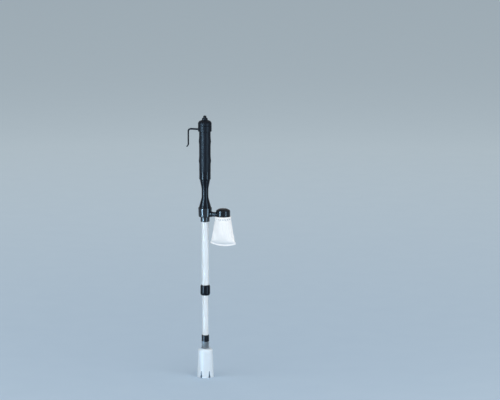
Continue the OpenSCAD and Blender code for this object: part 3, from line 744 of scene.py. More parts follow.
def combine(piece: bpy.types.Object, tool: bpy.types.Object, operation: str) -> None:
    """Adds a tool's shape to a piece or cuts it out, and uses the tool up.

    Args:
        piece: The piece that stays.
        tool: The other shape.
        operation: Name of the Boolean operation.
    """
    modifier = piece.modifiers.new("combine", "BOOLEAN")
    modifier.operation = operation
    modifier.solver = "EXACT"
    modifier.object = tool
    settle(piece)
    if not piece.data.polygons:
        raise RuntimeError(f"nothing left of {piece.name}")
    drop(tool)
    smooth(piece.data)


def drop(piece: bpy.types.Object) -> None:
    """Removes an object and its mesh.

    Args:
        piece: The object.
    """
    mesh = piece.data
    bpy.data.objects.remove(piece)
    bpy.data.meshes.remove(mesh)


def level_normals(piece: bpy.types.Object) -> None:
    """Keeps large faces flat in the shading beside their rounded edges.

    Args:
        piece: The piece.
    """
    modifier = piece.modifiers.new("level", "WEIGHTED_NORMAL")
    modifier.keep_sharp = True
    settle(piece)


def dress(piece: bpy.types.Object, body: Body, finish: Finish, *nodes: str) -> None:
    """Gives a finished piece its material, its body and the nodes that it stands for.

    Args:
        piece: The piece.
        body: Body that it rides on.
        finish: Its finish.
        nodes: Frame nodes that it replaces.
    """
    piece.data.materials.clear()
    piece.data.materials.append(material(finish))
    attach(piece, body.value)
    if nodes:
        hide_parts(*nodes)
    LOG.info("%s: %d faces on %s", piece.name, len(piece.data.polygons), body.value)


def dress_faces(piece: bpy.types.Object, finish: Finish, chosen: Callable[[Vector], bool]) -> None:
    """Gives some faces of a dressed piece a second finish.

    Args:
        piece: The piece.
        finish: The second finish.
        chosen: Tells from the middle of a face, in millimetres, whether it gets this finish.
    """
    piece.data.materials.append(material(finish))
    for face in piece.data.polygons:
        if chosen(face.center / MM):
            face.material_index = 1


class NodeTool:
    """A Geometry Nodes tree with named sizes, used on one object at a time."""

    def __init__(self, name: str) -> None:
        """Starts a tree with a geometry input and output.

        Args:
            name: Name of the tree.
        """
        self.tree = bpy.data.node_groups.new(name, "GeometryNodeTree")
        self.tree.interface.new_socket("Geometry", in_out="INPUT", socket_type="NodeSocketGeometry")
        self.tree.interface.new_socket("Geometry", in_out="OUTPUT", socket_type="NodeSocketGeometry")
        self.entry = self.tree.nodes.new("NodeGroupInput")
        self.exit = self.tree.nodes.new("NodeGroupOutput")
        self.sockets: dict[str, str] = {}

    def ask(self, name: str, kind: str) -> bpy.types.NodeSocket:
        """Adds a named input.

        Args:
            name: Name of the input.
            kind: Type of its socket, such as Float.

        Returns:
            The input inside the tree.
        """
        item = self.tree.interface.new_socket(name, in_out="INPUT", socket_type=f"NodeSocket{kind}")
        self.sockets[name] = item.identifier
        return self.entry.outputs[name]

    def add(self, kind: str, settings: dict[str, object] | None = None, **inputs: object) -> bpy.types.Node:
        """Adds a node.

        Args:
            kind: Type of the node.
            settings: Properties of the node.
            inputs: Socket names in lower case with underscores, with values or outputs.

        Returns:
            The node.
        """
        node = self.tree.nodes.new(kind)
        for name, value in (settings or {}).items():
            setattr(node, name, value)
        for name, value in inputs.items():
            plain = name.replace("_", " ")
            socket = next(s for s in node.inputs if s.name.lower() == plain and s.enabled)
            if isinstance(value, bpy.types.NodeSocket):
                self.tree.links.new(value, socket)
            else:
                socket.default_value = value
        return node

    def close(self, geometry: bpy.types.NodeSocket) -> None:
        """Ends the tree in real, smooth and dressed faces.

        Args:
            geometry: What the tree has made.
        """
        dressing = self.ask("Material", "Material")
        real = self.add("GeometryNodeRealizeInstances", geometry=geometry)
        dressed = self.add("GeometryNodeSetMaterial", geometry=real.outputs[0], material=dressing)
        self.tree.links.new(dressed.outputs[0], self.exit.inputs[0])

    def use(self, piece: bpy.types.Object, **values: object) -> None:
        """Runs the tree on a piece and keeps the result as its mesh.

        Args:
            piece: The piece.
            values: The tree's inputs by name.
        """
        modifier = piece.modifiers.new(self.tree.name, "NODES")
        modifier.node_group = self.tree
        for name, value in values.items():
            modifier[self.sockets[name]] = value
        settle(piece)
        smooth(piece.data)


BEAD: dict[str, float] = {"segments": 8, "rings": 5, "radius": 0.5}


def stitch_tool() -> NodeTool:
    """Builds the tree that sews a row of stitches along a line.

    Returns:
        The tool, whose piece is a mesh of edges.
    """
    tool = NodeTool("stitch_row")
    pitch = tool.ask("Pitch", "Float")
    size = tool.ask("Size", "Vector")
    line = tool.add("GeometryNodeMeshToCurve", mesh=tool.entry.outputs["Geometry"])
    points = tool.add("GeometryNodeResampleCurve", {"mode": "LENGTH"}, curve=line.outputs[0], length=pitch)
    tangent = tool.add("GeometryNodeInputTangent")
    turn = tool.add("FunctionNodeAlignRotationToVector", {"axis": "X"}, vector=tangent.outputs[0])
    bead = tool.add("GeometryNodeMeshUVSphere", **BEAD)
    round_bead = tool.add("GeometryNodeSetShadeSmooth", geometry=bead.outputs["Mesh"])
    sewn = tool.add(
        "GeometryNodeInstanceOnPoints", points=points.outputs[0], instance=round_bead.outputs[0],
        rotation=turn.outputs[0], scale=size,
    )
    tool.close(sewn.outputs[0])
    return tool


def slot_tool() -> NodeTool:
    """Builds the tree that cuts a ring of slots out of a bell.

    Returns:
        The tool, whose piece is the bell.
    """
    tool = NodeTool("foot_slots")
    count = tool.ask("Count", "Int")
    first = tool.ask("Turn", "Float")
    cutter = tool.ask("Cutter", "Object")
    ring = tool.add("GeometryNodeMeshCircle", vertices=count, radius=TINY)
    info = tool.add("GeometryNodeObjectInfo", object=cutter)
    index = tool.add("GeometryNodeInputIndex")
    step = tool.add("ShaderNodeMath", {"operation": "DIVIDE"})
    step.inputs[0].default_value = math.tau
    tool.tree.links.new(count, step.inputs[1])
    angle = tool.add("ShaderNodeMath", {"operation": "MULTIPLY_ADD"})
    for output, socket in zip((index.outputs[0], step.outputs[0], first), angle.inputs):
        tool.tree.links.new(output, socket)
    turn = tool.add("ShaderNodeCombineXYZ", z=angle.outputs[0])
    cutters = tool.add(
        "GeometryNodeInstanceOnPoints", points=ring.outputs[0], instance=info.outputs["Geometry"],
        rotation=turn.outputs[0],
    )
    solid = tool.add("GeometryNodeRealizeInstances", geometry=cutters.outputs[0])
    cut = tool.add("GeometryNodeMeshBoolean", {"operation": "DIFFERENCE", "solver": "EXACT"})
    tool.tree.links.new(tool.entry.outputs["Geometry"], cut.inputs["Mesh 1"])
    tool.tree.links.new(solid.outputs[0], cut.inputs["Mesh 2"])
    tool.close(cut.outputs["Mesh"])
    return tool


@dataclass
class Grip:
    """The handle: a tube with a neck and low swells under the fingers, and the waisted stem below it."""

    tube: Extent = box_of("handle_tube")
    stem: Extent = box_of("lower_handle")
    pump: Extent = box_of("pump_housing")
    wall: float = 2.1
    neck_step: float = 0.6
    neck_l: float = 24.4
    swell_at: float = 29.0
    swell_h: float = 1.4
    swell_run: float = 8.0
    swell_shift: float = 4.0
    swell_soft: float = 0.5
    swell_start: float = 4.0
    collar_h: float = 22.0
    collar_step: float = 1.6
    step_h: float = 2.0
    taper_l: float = 25.0
    waist_r: float = 9.4
    waist_l: float = 24.5
    flare_r: float = 17.3
    spigot_step: float = 3.0
    cup_floor: float = 3.5
    cup_wall: float = 1.6
    bore_r: float = 5.0
    seam_round: float = 0.45
    flare_bend: float = 24.0
    taper_bend: float = 30.0

    def swollen(self, radius: float, height: float, angle: float) -> float:
        """Raises the outside of the tube into the swells of its two sides.

        Args:
            radius: Plain radius.
            height: Level on the tube.
            angle: Angle round the tube.

        Returns:
            The radius with the swells.
        """
        if radius < self.tube.radius - TINY:
            return radius
        level = abs(height)
        inner = (level - self.swell_at + 2 * self.swell_run) / (2 * self.swell_run)
        outer = (self.swell_at + self.swell_run - level) / self.swell_run
        share = max(0.0, min(1.0, inner, outer))
        rise = self.swell_h * share * share * (3 - 2 * share)
        side = self.swell_shift * abs(math.cos(angle))
        off = self.swell_shift * math.sin(angle)
        crest = side + math.sqrt((radius - self.swell_shift + rise) ** 2 - off * off)
        ahead = crest - radius
        swell = (ahead + math.sqrt(ahead * ahead + self.swell_soft**2 * share)) / 2
        return radius + swell * min(1.0, self.swell_start * share)

    def build_tube(self) -> None:
        """Builds the tube."""
        outer = self.tube.radius
        neck = outer - self.neck_step
        bore = outer - self.wall
        shoulder = self.tube.top - self.neck_l
        tube = turned("handle_tube_shell", (
            Corner(bore, self.tube.bottom),
            Corner(outer, self.tube.bottom, self.seam_round),
            Corner(outer, shoulder, CRISP),
            Corner(neck, shoulder),
            Corner(neck, self.tube.top, PLAIN),
            Corner(bore, self.tube.top, FINE),
        ), swell=self.swollen)
        dress(tube, Body.HANDLE, SATIN_BLACK, "handle_tube")

    def build_stem(self) -> None:
        """Builds the stem with its motor cup."""
        seam = self.tube.bottom
        outer = self.tube.radius
        plug = outer - self.wall - FIT
        collar = seam - self.collar_h
        waist_top = collar - self.step_h - self.taper_l
        waist = waist_top - self.waist_l
        flare = self.pump.top
        spigot = self.flare_r - self.spigot_step
        cup = plug - self.cup_wall
        stem = turned("stem_shell", (
            Corner(self.bore_r, self.stem.bottom),
            Corner(spigot, self.stem.bottom, PLAIN),
            Corner(spigot, flare),
            Corner(self.flare_r, flare, SOFT),
            Corner(self.waist_r, waist, self.flare_bend),
            Corner(self.waist_r, waist_top, self.taper_bend),
            Corner(outer - self.collar_step, collar - self.step_h, THIN),
            Corner(outer, collar, ROUND),
            Corner(outer, seam, self.seam_round),
            Corner(plug, seam),
            Corner(plug, self.stem.top, PLAIN),
            Corner(cup, self.stem.top, FINE),
            Corner(cup, collar + self.cup_floor),
            Corner(self.bore_r, collar + self.cup_floor),
        ))
        dress(stem, Body.HANDLE, STEM_BLACK, "lower_handle")

    def build(self) -> None:
        """Builds the tube and the stem."""
        self.build_tube()
        self.build_stem()


NECK_BORE = 15.38


@dataclass
class Head:
    """The screw cap on the handle, with its push button in a bezel."""

    cap: Extent = box_of("head_cap")
    bezel: Extent = box_of("switch_bezel")
    button: Extent = box_of("switch_button")
    bore_r: float = NECK_BORE
    land_h: float = 5.8
    roof: float = 3.8
    inner_r: float = 13.8
    slope: float = 7.3
    crown_inset: float = 3.3
    crown_drop: float = 2.6
    crown_flat: float = 1.4
    crown_bend: float = 5.0
    rim_bend: float = 3.0
    stem_hole: float = 2.3
    bezel_r: float = 7.9
    bezel_foot: float = 0.8
    bezel_foot_h: float = 1.6
    bezel_bend: float = 1.0
    bezel_taper: float = 0.6
    bezel_room: float = 1.4
    button_r: float = 4.6
    button_gap: float = 0.3
    button_rise: float = 1.0
    button_taper: float = 0.4
    button_dome: float = 2.7
    flange_t: float = 1.5
    lip: float = 1.5

    def build_cap(self) -> None:
        """Builds the cap."""
        radius, top = self.cap.radius, self.cap.top
        cap = turned("head_cap_shell", (
            Corner(self.bore_r, self.cap.bottom, PLAIN),
            Corner(radius, self.cap.bottom, SOFT),
            Corner(radius, top - self.slope, self.rim_bend),
            Corner(radius - self.crown_inset, top - self.crown_drop, self.crown_bend),
            Corner(self.bezel_r + self.crown_flat, top, self.rim_bend),
            Corner(self.stem_hole, top),
            Corner(self.stem_hole, top - self.roof),
            Corner(self.inner_r, top - self.roof),
            Corner(self.inner_r, top - self.land_h),
            Corner(self.bore_r, top - self.land_h),
        ))
        dress(cap, Body.CAP, SATIN_BLACK, "head_cap")

    def build_switch(self) -> None:
        """Builds the bezel and the button."""
        low, top = self.bezel.bottom, self.bezel.top
        hole = self.button_r + self.button_gap
        room = hole + self.bezel_room
        bezel = turned("switch_bezel_ring", (
            Corner(room, low),
            Corner(self.bezel_r + self.bezel_foot, low, CRISP),
            Corner(self.bezel_r, low + self.bezel_foot_h, self.bezel_bend),
            Corner(self.bezel_r - self.bezel_taper, top, FULL),
            Corner(hole, top, PLAIN),
            Corner(hole, top - self.lip),
            Corner(room, top - self.lip),
        ))
        dress(bezel, Body.CAP, SATIN_BLACK, "switch_bezel")
        flange = top - self.lip - self.button_gap
        stem = self.stem_hole - self.button_gap
        button = turned("switch_button_cap", (
            Corner(0, self.button.bottom),
            Corner(stem, self.button.bottom, PLAIN),
            Corner(stem, flange - self.flange_t),
            Corner(self.button.radius, flange - self.flange_t),
            Corner(self.button.radius, flange),
            Corner(self.button_r, flange),
            Corner(self.button_r, top + self.button_rise, EASED),
            Corner(self.button_r - self.button_taper, self.button.top, self.button_dome),
            Corner(0, self.button.top),
        ))
        dress(button, Body.BUTTON, RUBBER, "switch_button")

    def build(self) -> None:
        """Builds the cap and the switch."""
        self.build_cap()
        self.build_switch()


@dataclass
class Hook:
    """The collar that turns on the handle's neck, and the flat hook for the rim of a tank."""

    box: Extent = box_of("hook_collar")
    collar_h: float = 16.8
    bore_r: float = NECK_BORE
    width: float = 6.0
    arm_drop: float = 9.2
    arm_t: float = 4.5
    leg_in: float = 47.7
    leg_t: float = 2.6
    leg_l: float = 47.0
    bend_r: float = 9.0
    kick: float = 4.6
    kick_drop: float = 6.2
    kick_tip: float = 1.2
    kick_bend: float = 7.0
    tip_round: float = 1.2
    edge: float = 0.9
    edge_steps: int = 4
    root_in: float = 2.0

    def outline(self) -> list[Vector]:
        """Gives the hook's side view.

        Returns:
            Points of x and height.
        """
        inner = -self.leg_in
        out = inner - self.leg_t
        tip = out - self.kick
        root = -self.bore_r - self.root_in
        top = self.box.top - self.arm_drop
        low = top - self.arm_t
        end = top - self.leg_l
        return rounded((
            Corner(root, low),
            Corner(inner, low, self.bend_r - self.leg_t),
            Corner(inner, end, self.kick_bend),
            Corner(inner - self.kick, end - self.kick_drop, self.tip_round),
            Corner(tip, end - self.kick_drop + self.kick_tip, self.tip_round),
            Corner(out, end + self.kick_tip / 2, self.kick_bend),
            Corner(out, top, self.bend_r),
            Corner(root, top),
        ))

    def build_strap(self) -> bpy.types.Object:
        """Builds the flat hook with rounded edges.

        Returns:
            The hook without its collar.
        """
        points = divided(self.outline())
        half = self.width / 2
        shape = slab(*([Vector((p.x, y, p.y)) for p in points] for y in (-half, half)))
        rims = [edge for face in shape.faces[:2] for edge in face.edges]
        bmesh.ops.bevel(
            shape, geom=rims, offset=self.edge, segments=self.edge_steps, profile=0.5, affect="EDGES",
        )
        return piece_of("hook_strap", shape)

    def build(self) -> None:
        """Builds the collar with its hook."""
        radius, top = self.box.radius, self.box.top
        low = top - self.collar_h
        collar = turned("hook_collar_shell", (
            Corner(self.bore_r, low, FINE),
            Corner(radius, low, FULL),
            Corner(radius, top, ROUND),
            Corner(self.bore_r, top, FINE),
        ))
        combine(collar, self.build_strap(), "UNION")
        level_normals(collar)
        dress(collar, Body.HOOK, SATIN_BLACK, "hook_collar")
        dress_faces(collar, MATT_BLACK, lambda middle: middle.x < -radius)


@dataclass(frozen=True)
class Outlet:
    """The arm of the pump that carries the bag: its level, radius and bore."""

    level: float = -176.2
    radius: float = 6.6
    bore: float = 4.9


@dataclass
class Pump:
    """The pump housing with the socket for the tube and the outlet arm."""

    box: Extent = box_of("pump_housing")
    tube: Extent = box_of("upper_tube")
    outlet: Outlet = Outlet()
    housing_h: float = 26.0
    draft: float = 1.4
    spigot_r: float = 14.34
    spigot_l: float = 5.0
    floor: float = 3.0
    wall: float = 2.2
    socket_r: float = 12.54
    intake_r: float = 7.8
    seat: float = 2.0
    floor_bend: float = 2.4
    rim_round: float = 1.2
    root_step: float = 1.3
    root_slope: float = 1.8
    root_bend: float = 1.6
    root_out: float = 1.0
    root_in: float = 1.0
    way_in: float = 4.0
    way_play: float = 0.02
    arm_starts: float = 0.175

    @property
    def chamber_r(self) -> float:
        """Radius of the chamber that the impeller turns in."""
        return self.box.radius - self.draft - self.wall

    @property
    def arm_start(self) -> float:
        """How far from the axis the arm begins, inside the wall."""
        return self.chamber_r + self.root_in

    def shell(self) -> bpy.types.Object:
        """Builds the housing with its chamber and its socket.

        Returns:
            The housing without its arm.
        """
        radius, top, chamber = self.box.radius, self.box.top, self.chamber_r
        low = top - self.housing_h
        socket_bore = self.tube.radius + FIT
        return turned("pump_housing_shell", (
            Corner(self.socket_r, self.box.bottom, SOFT),
            Corner(self.socket_r, low, FULL),
            Corner(radius - self.draft, low, self.floor_bend),
            Corner(radius, top, self.rim_round),
            Corner(self.spigot_r, top, FINE),
            Corner(self.spigot_r, top - self.spigot_l),
            Corner(chamber, top - self.spigot_l),
            Corner(chamber, low + self.floor),
            Corner(self.intake_r, low + self.floor),
            Corner(self.intake_r, low - self.seat),
            Corner(socket_bore, low - self.seat),
            Corner(socket_bore, self.box.bottom, CRISP),
        ))

    def arm(self) -> bpy.types.Object:
        """Builds the outlet arm with its stout root.

        Returns:
            The arm, from inside the wall to its end.
        """
        root, end = self.box.radius + self.root_out, self.box.high.x
        root_r = self.outlet.radius + self.root_step
        return turned("outlet_arm", (
            Corner(self.outlet.bore, self.arm_start),
            Corner(root_r, self.arm_start),
            Corner(root_r, root, ROUND),
            Corner(self.outlet.radius, root + self.root_slope, self.root_bend),
            Corner(self.outlet.radius, end, EASED),
            Corner(self.outlet.bore, end, FINE),
        ), place=sideways(self.outlet.level))

    def way(self) -> bpy.types.Object:
        """Builds the plug that opens the chamber into the arm.

        Returns:
            The plug, which is cut out.
        """
        radius = self.outlet.bore - self.way_play
        start, end = self.chamber_r - self.way_in, self.arm_start + self.root_in
        return turned("outlet_way", (
            Corner(0, start),
            Corner(radius, start),
            Corner(radius, end),
            Corner(0, end),
        ), place=sideways(self.outlet.level))

    def build(self) -> None:
        """Builds the housing and its arm as one piece."""
        housing = self.shell()
        combine(housing, self.arm(), "UNION")
        combine(housing, self.way(), "DIFFERENCE")
        level_normals(housing)
        dress(housing, Body.HANDLE, GLOSS_BLACK, "pump_housing")
        arm_from = self.box.radius + self.arm_starts
        dress_faces(housing, STEM_BLACK, lambda middle: middle.xy.length > arm_from)


@dataclass
class Tubes:
    """The telescopic tube: two clear tubes and the nut that locks one in the other."""

    upper: Extent = box_of("upper_tube")
    lower: Extent = box_of("lower_tube")
    nut: Extent = box_of("lock_nut")
    end_round: float = 0.35
    sleeve_r: float = 10.79
    sleeve_play: float = 0.08
    upper_wall: float = 1.0
    lower_wall: float = 1.2
    nut_gap: float = 0.3
    nut_floor: float = 2.5
    nut_inset: float = 2.4
    nut_bevel: float = 3.6
    nut_round: float = 5.0

    def build_tube(self, name: str, box: Extent, wall: float, body: Body, node: str) -> None:
        """Builds one clear tube.

        Args:
            name: Name of the piece.
            box: Extent of the tube.
            wall: Its wall.
            body: Body that it rides on.
            node: Frame node that it replaces.
        """
        inner = box.radius - wall
        tube = turned(name, (
            Corner(inner, box.bottom, THIN),
            Corner(box.radius, box.bottom, self.end_round),
            Corner(box.radius, box.top, self.end_round),
            Corner(inner, box.top, THIN),
        ))
        dress(tube, body, CLEAR, node)

    def build_nut(self) -> None:
        """Builds the barrel shaped nut."""
        low, top, radius = self.nut.bottom, self.nut.top, self.nut.radius
        below = self.lower.radius + self.nut_gap
        above = self.upper.radius + self.nut_gap
        edge = radius - self.nut_inset
        sleeve = self.sleeve_r + self.sleeve_play
        nut = turned("lock_nut_shell", (
            Corner(below, low, FINE),
            Corner(edge, low, SOFT),
            Corner(radius, low + self.nut_bevel, self.nut_round),
            Corner(radius, top - self.nut_bevel, self.nut_round),
            Corner(edge, top, PLAIN),
            Corner(above, top, HAIR),
            Corner(above, top - self.nut_floor),
            Corner(sleeve, top - self.nut_floor),
            Corner(sleeve, low + self.nut_floor),
            Corner(below, low + self.nut_floor),
        ))
        dress(nut, Body.NUT, STEM_BLACK, "lock_nut")

    def build(self) -> None:
        """Builds both tubes and the nut."""
        self.build_tube("upper_tube_clear", self.upper, self.upper_wall, Body.HANDLE, "upper_tube")
        self.build_tube("lower_tube_clear", self.lower, self.lower_wall, Body.LOWER, "lower_tube")
        self.build_nut()


@dataclass
class Intake:
    """The adapter at the end of the tube and the slotted bell that stands in the gravel."""

    adapter: Extent = box_of("nozzle_adapter")
    bell: Extent = box_of("intake_nozzle")
    tube: Extent = box_of("lower_tube")
    neck_r: float = 10.0
    neck_wall: float = 1.2
    neck_l: float = 14.9
    neck_bend: float = 2.8
    neck_inner_bend: float = 4.6
    neck_inner_drop: float = 0.6
    shoulder_r: float = 20.5
    shoulder_h: float = 9.0
    shoulder_bend: float = 6.0
    shoulder_inner_bend: float = 4.2
    shoulder_inner_drop: float = 0.2
    foot_r: float = 23.35
    wall: float = 1.8
    spigot_wall: float = 1.7
    slots: int = 6
    slot_turn: float = math.radians(20)
    slot_h: float = 19.2
    slot_w: float = 7.2
    slot_top_w: float = 4.2
    slot_arch: float = 0.92
    slot_under: float = 2.0
    slot_over: float = 5.0

    def build_adapter(self) -> None:
        """Builds the black adapter, whose spigot shows through the bell's neck."""
        spigot = self.neck_r - self.neck_wall - FIT
        bore = spigot - self.spigot_wall
        seat = self.tube.radius + FIT
        adapter = turned("nozzle_adapter_shell", (
            Corner(bore, self.adapter.bottom, PLAIN),
            Corner(spigot, self.adapter.bottom, ROUND),
            Corner(spigot, self.bell.top),
            Corner(self.adapter.radius, self.bell.top, SOFT),
            Corner(self.adapter.radius, self.adapter.top, SOFT),
            Corner(seat, self.adapter.top, FINE),
            Corner(seat, self.tube.bottom),
            Corner(bore, self.tube.bottom),
        ))
        dress(adapter, Body.LOWER, CAP_BLACK, "nozzle_adapter")

    def slot_cutter(self) -> bpy.types.Object:
        """Builds the block that cuts one slot, wide at the foot and round at the top.

        Returns:
            The block, on the +X side.
        """
        low, high = self.bell.bottom - self.slot_under, self.bell.bottom + self.slot_h
        half, narrow = self.slot_w / 2, self.slot_top_w / 2
        points = divided(rounded((
            Corner(-half, low),
            Corner(half, low),
            Corner(narrow, high, self.slot_arch * narrow),
            Corner(-narrow, high, self.slot_arch * narrow),
        )))
        reach = (self.shoulder_r / 2, self.foot_r + self.slot_over)
        shape = slab(*([Vector((x, p.x, p.y)) for p in points] for x in reach))
        return piece_of("slot_cutter", shape)

    def build_bell(self) -> None:
        """Builds the milky bell with its ring of slots."""
        top, low = self.bell.top, self.bell.bottom
        neck_low = top - self.neck_l
        shoulder = neck_low - self.shoulder_h
        inner_shoulder = shoulder - self.shoulder_inner_drop * self.wall
        bore = self.neck_r - self.neck_wall
        bell = turned("intake_bell", (
            Corner(bore, top, FINE),
            Corner(bore, neck_low - self.neck_inner_drop * self.wall, self.neck_inner_bend),
            Corner(self.shoulder_r - self.wall, inner_shoulder, self.shoulder_inner_bend),
            Corner(self.foot_r - self.wall, low, PLAIN),
            Corner(self.foot_r, low, PLAIN),
            Corner(self.shoulder_r, shoulder, self.shoulder_bend),
            Corner(self.neck_r, neck_low, self.neck_bend),
            Corner(self.neck_r, top, PLAIN),
        ))
        cutter = self.slot_cutter()
        slot_tool().use(bell, Count=self.slots, Turn=self.slot_turn, Cutter=cutter, Material=material(MILKY))
        drop(cutter)
        level_normals(bell)
        dress(bell, Body.LOWER, MILKY, "intake_nozzle")

    def build(self) -> None:
        """Builds the adapter and the bell."""
        self.build_adapter()
        self.build_bell()


@dataclass
class BagCap:
    """The domed cap that hangs the bag on the outlet arm."""

    box: Extent = box_of("bag_cap")
    pump: Extent = box_of("pump_housing")
    outlet: Outlet = Outlet()
    skirt_h: float = 21.4
    skirt_round: float = 0.6
    wall: float = 1.8
    roof_more: float = 0.4
    dome_drop: float = 5.4
    dome_flat: float = 0.55
    dome_bend: float = 16.0
    dome_inner_bend: float = 14.0
    brim_bend: float = 5.0
    brim_inner_bend: float = 3.6
    spigot_step: float = 1.2
    bead: float = 0.35
    bead_h: float = 1.6
    bead_slope: float = 1.5
    arm_play: float = 0.08
    arm_end: float = 0.3
    boss_r: float = 9.4
    boss_out: float = 2.0
    hole_out: float = 3.0

    def shell(self) -> bpy.types.Object:
        """Builds the dome with its skirt and the spigot that the bag slips over.

        Returns:
            The cap without its boss.
        """
        radius, top, low = self.box.radius, self.box.top, self.box.bottom
        skirt = top - self.skirt_h
        spigot = radius - self.spigot_step
        inner = spigot - self.wall
        flat = self.dome_flat * radius
        roof = top - self.wall - self.roof_more
        return turned("bag_cap_shell", (
            Corner(0, top),
            Corner(flat, top, self.dome_bend),
            Corner(radius, top - self.dome_drop, self.brim_bend),
            Corner(radius, skirt, self.skirt_round),
            Corner(spigot, skirt),
            Corner(spigot, low + self.bead_slope * self.bead_h),
            Corner(spigot + self.bead, low + self.bead_h),
            Corner(spigot + self.bead, low, EASED),
            Corner(inner, low, EASED),
            Corner(inner, top - self.dome_drop - self.wall, self.brim_inner_bend),
            Corner(flat, roof, self.dome_inner_bend),
            Corner(0, roof),
        ), place=Matrix.Translation((self.box.middle_x, 0, 0)))

    def boss(self) -> bpy.types.Object:
        """Builds the boss that holds the arm.

        Returns:
            The boss without its hole.
        """
        start = self.box.low.x + self.spigot_step + self.wall / 2
        end = self.pump.high.x + self.boss_out
        return turned("bag_cap_boss", (
            Corner(0, start),
            Corner(self.boss_r, start),
            Corner(self.boss_r, end, self.skirt_round),
            Corner(0, end),
        ), place=sideways(self.outlet.level))

    def hole(self) -> bpy.types.Object:
        """Builds the stepped plug that makes room for the arm and opens its bore into the cap.

        Returns:
            The plug, which is cut out.
        """
        start, end = self.box.low.x - self.hole_out, self.pump.high.x
        arm_r = self.outlet.radius + self.arm_play
        return turned("bag_cap_hole", (
            Corner(0, start),
            Corner(arm_r, start),
            Corner(arm_r, end + self.arm_end),
            Corner(self.outlet.bore, end + self.arm_end),
            Corner(self.outlet.bore, end + self.hole_out),
            Corner(0, end + self.hole_out),
        ), place=sideways(self.outlet.level))

    def build(self) -> None:
        """Builds the cap with its boss and the hole for the arm."""
        cap = self.shell()
        combine(cap, self.boss(), "UNION")
        combine(cap, self.hole(), "DIFFERENCE")
        level_normals(cap)
        dress(cap, Body.BAG_HOLDER, CAP_BLACK, "bag_cap")


CLOTH_SETTINGS: dict[str, float | bool] = {
    "quality": 8,
    "mass": 0.12,
    "air_damping": 3,
    "tension_stiffness": 30,
    "compression_stiffness": 12,
    "shear_stiffness": 8,
    "bending_stiffness": 0.25,
    "shrink_min": -0.025,
    "use_pressure": True,
    "uniform_pressure_force": 0.1,
}


def woven_grid(name: str, lines: Sequence[Sequence[Vector]], ring: bool, step: Point) -> bpy.types.Object:
    """Builds cloth from lines of points that each close on themselves.

    Args:
        name: Name of the piece.
        lines: Points of each line.
        ring: Whether the last line meets the first. If not, both end lines are closed by a face.
        step: Length of a face on the flat cloth, from line to line and along a line.

    Returns:
        The piece.
    """
    shape = bmesh.new()
    weave = shape.loops.layers.uv.new("weave")
    rows = [[shape.verts.new(point) for point in line] for line in lines]
    count, around = len(rows), len(rows[0])
    for i in range(count if ring else count - 1):
        row, following = rows[i], rows[(i + 1) % count]
        for j in range(around):
            k = (j + 1) % around
            face = shape.faces.new((row[j], following[j], following[k], row[k]))
            places = ((i, j), (i + 1, j), (i + 1, j + 1), (i, j + 1))
            for loop, (u, v) in zip(face.loops, places):
                loop[weave].uv = (u * step[0] * MM, v * step[1] * MM)
    if not ring:
        shape.faces.new(rows[0])
        shape.faces.new(rows[-1])
    bmesh.ops.recalc_face_normals(shape, faces=shape.faces)
    return piece_of(name, shape)


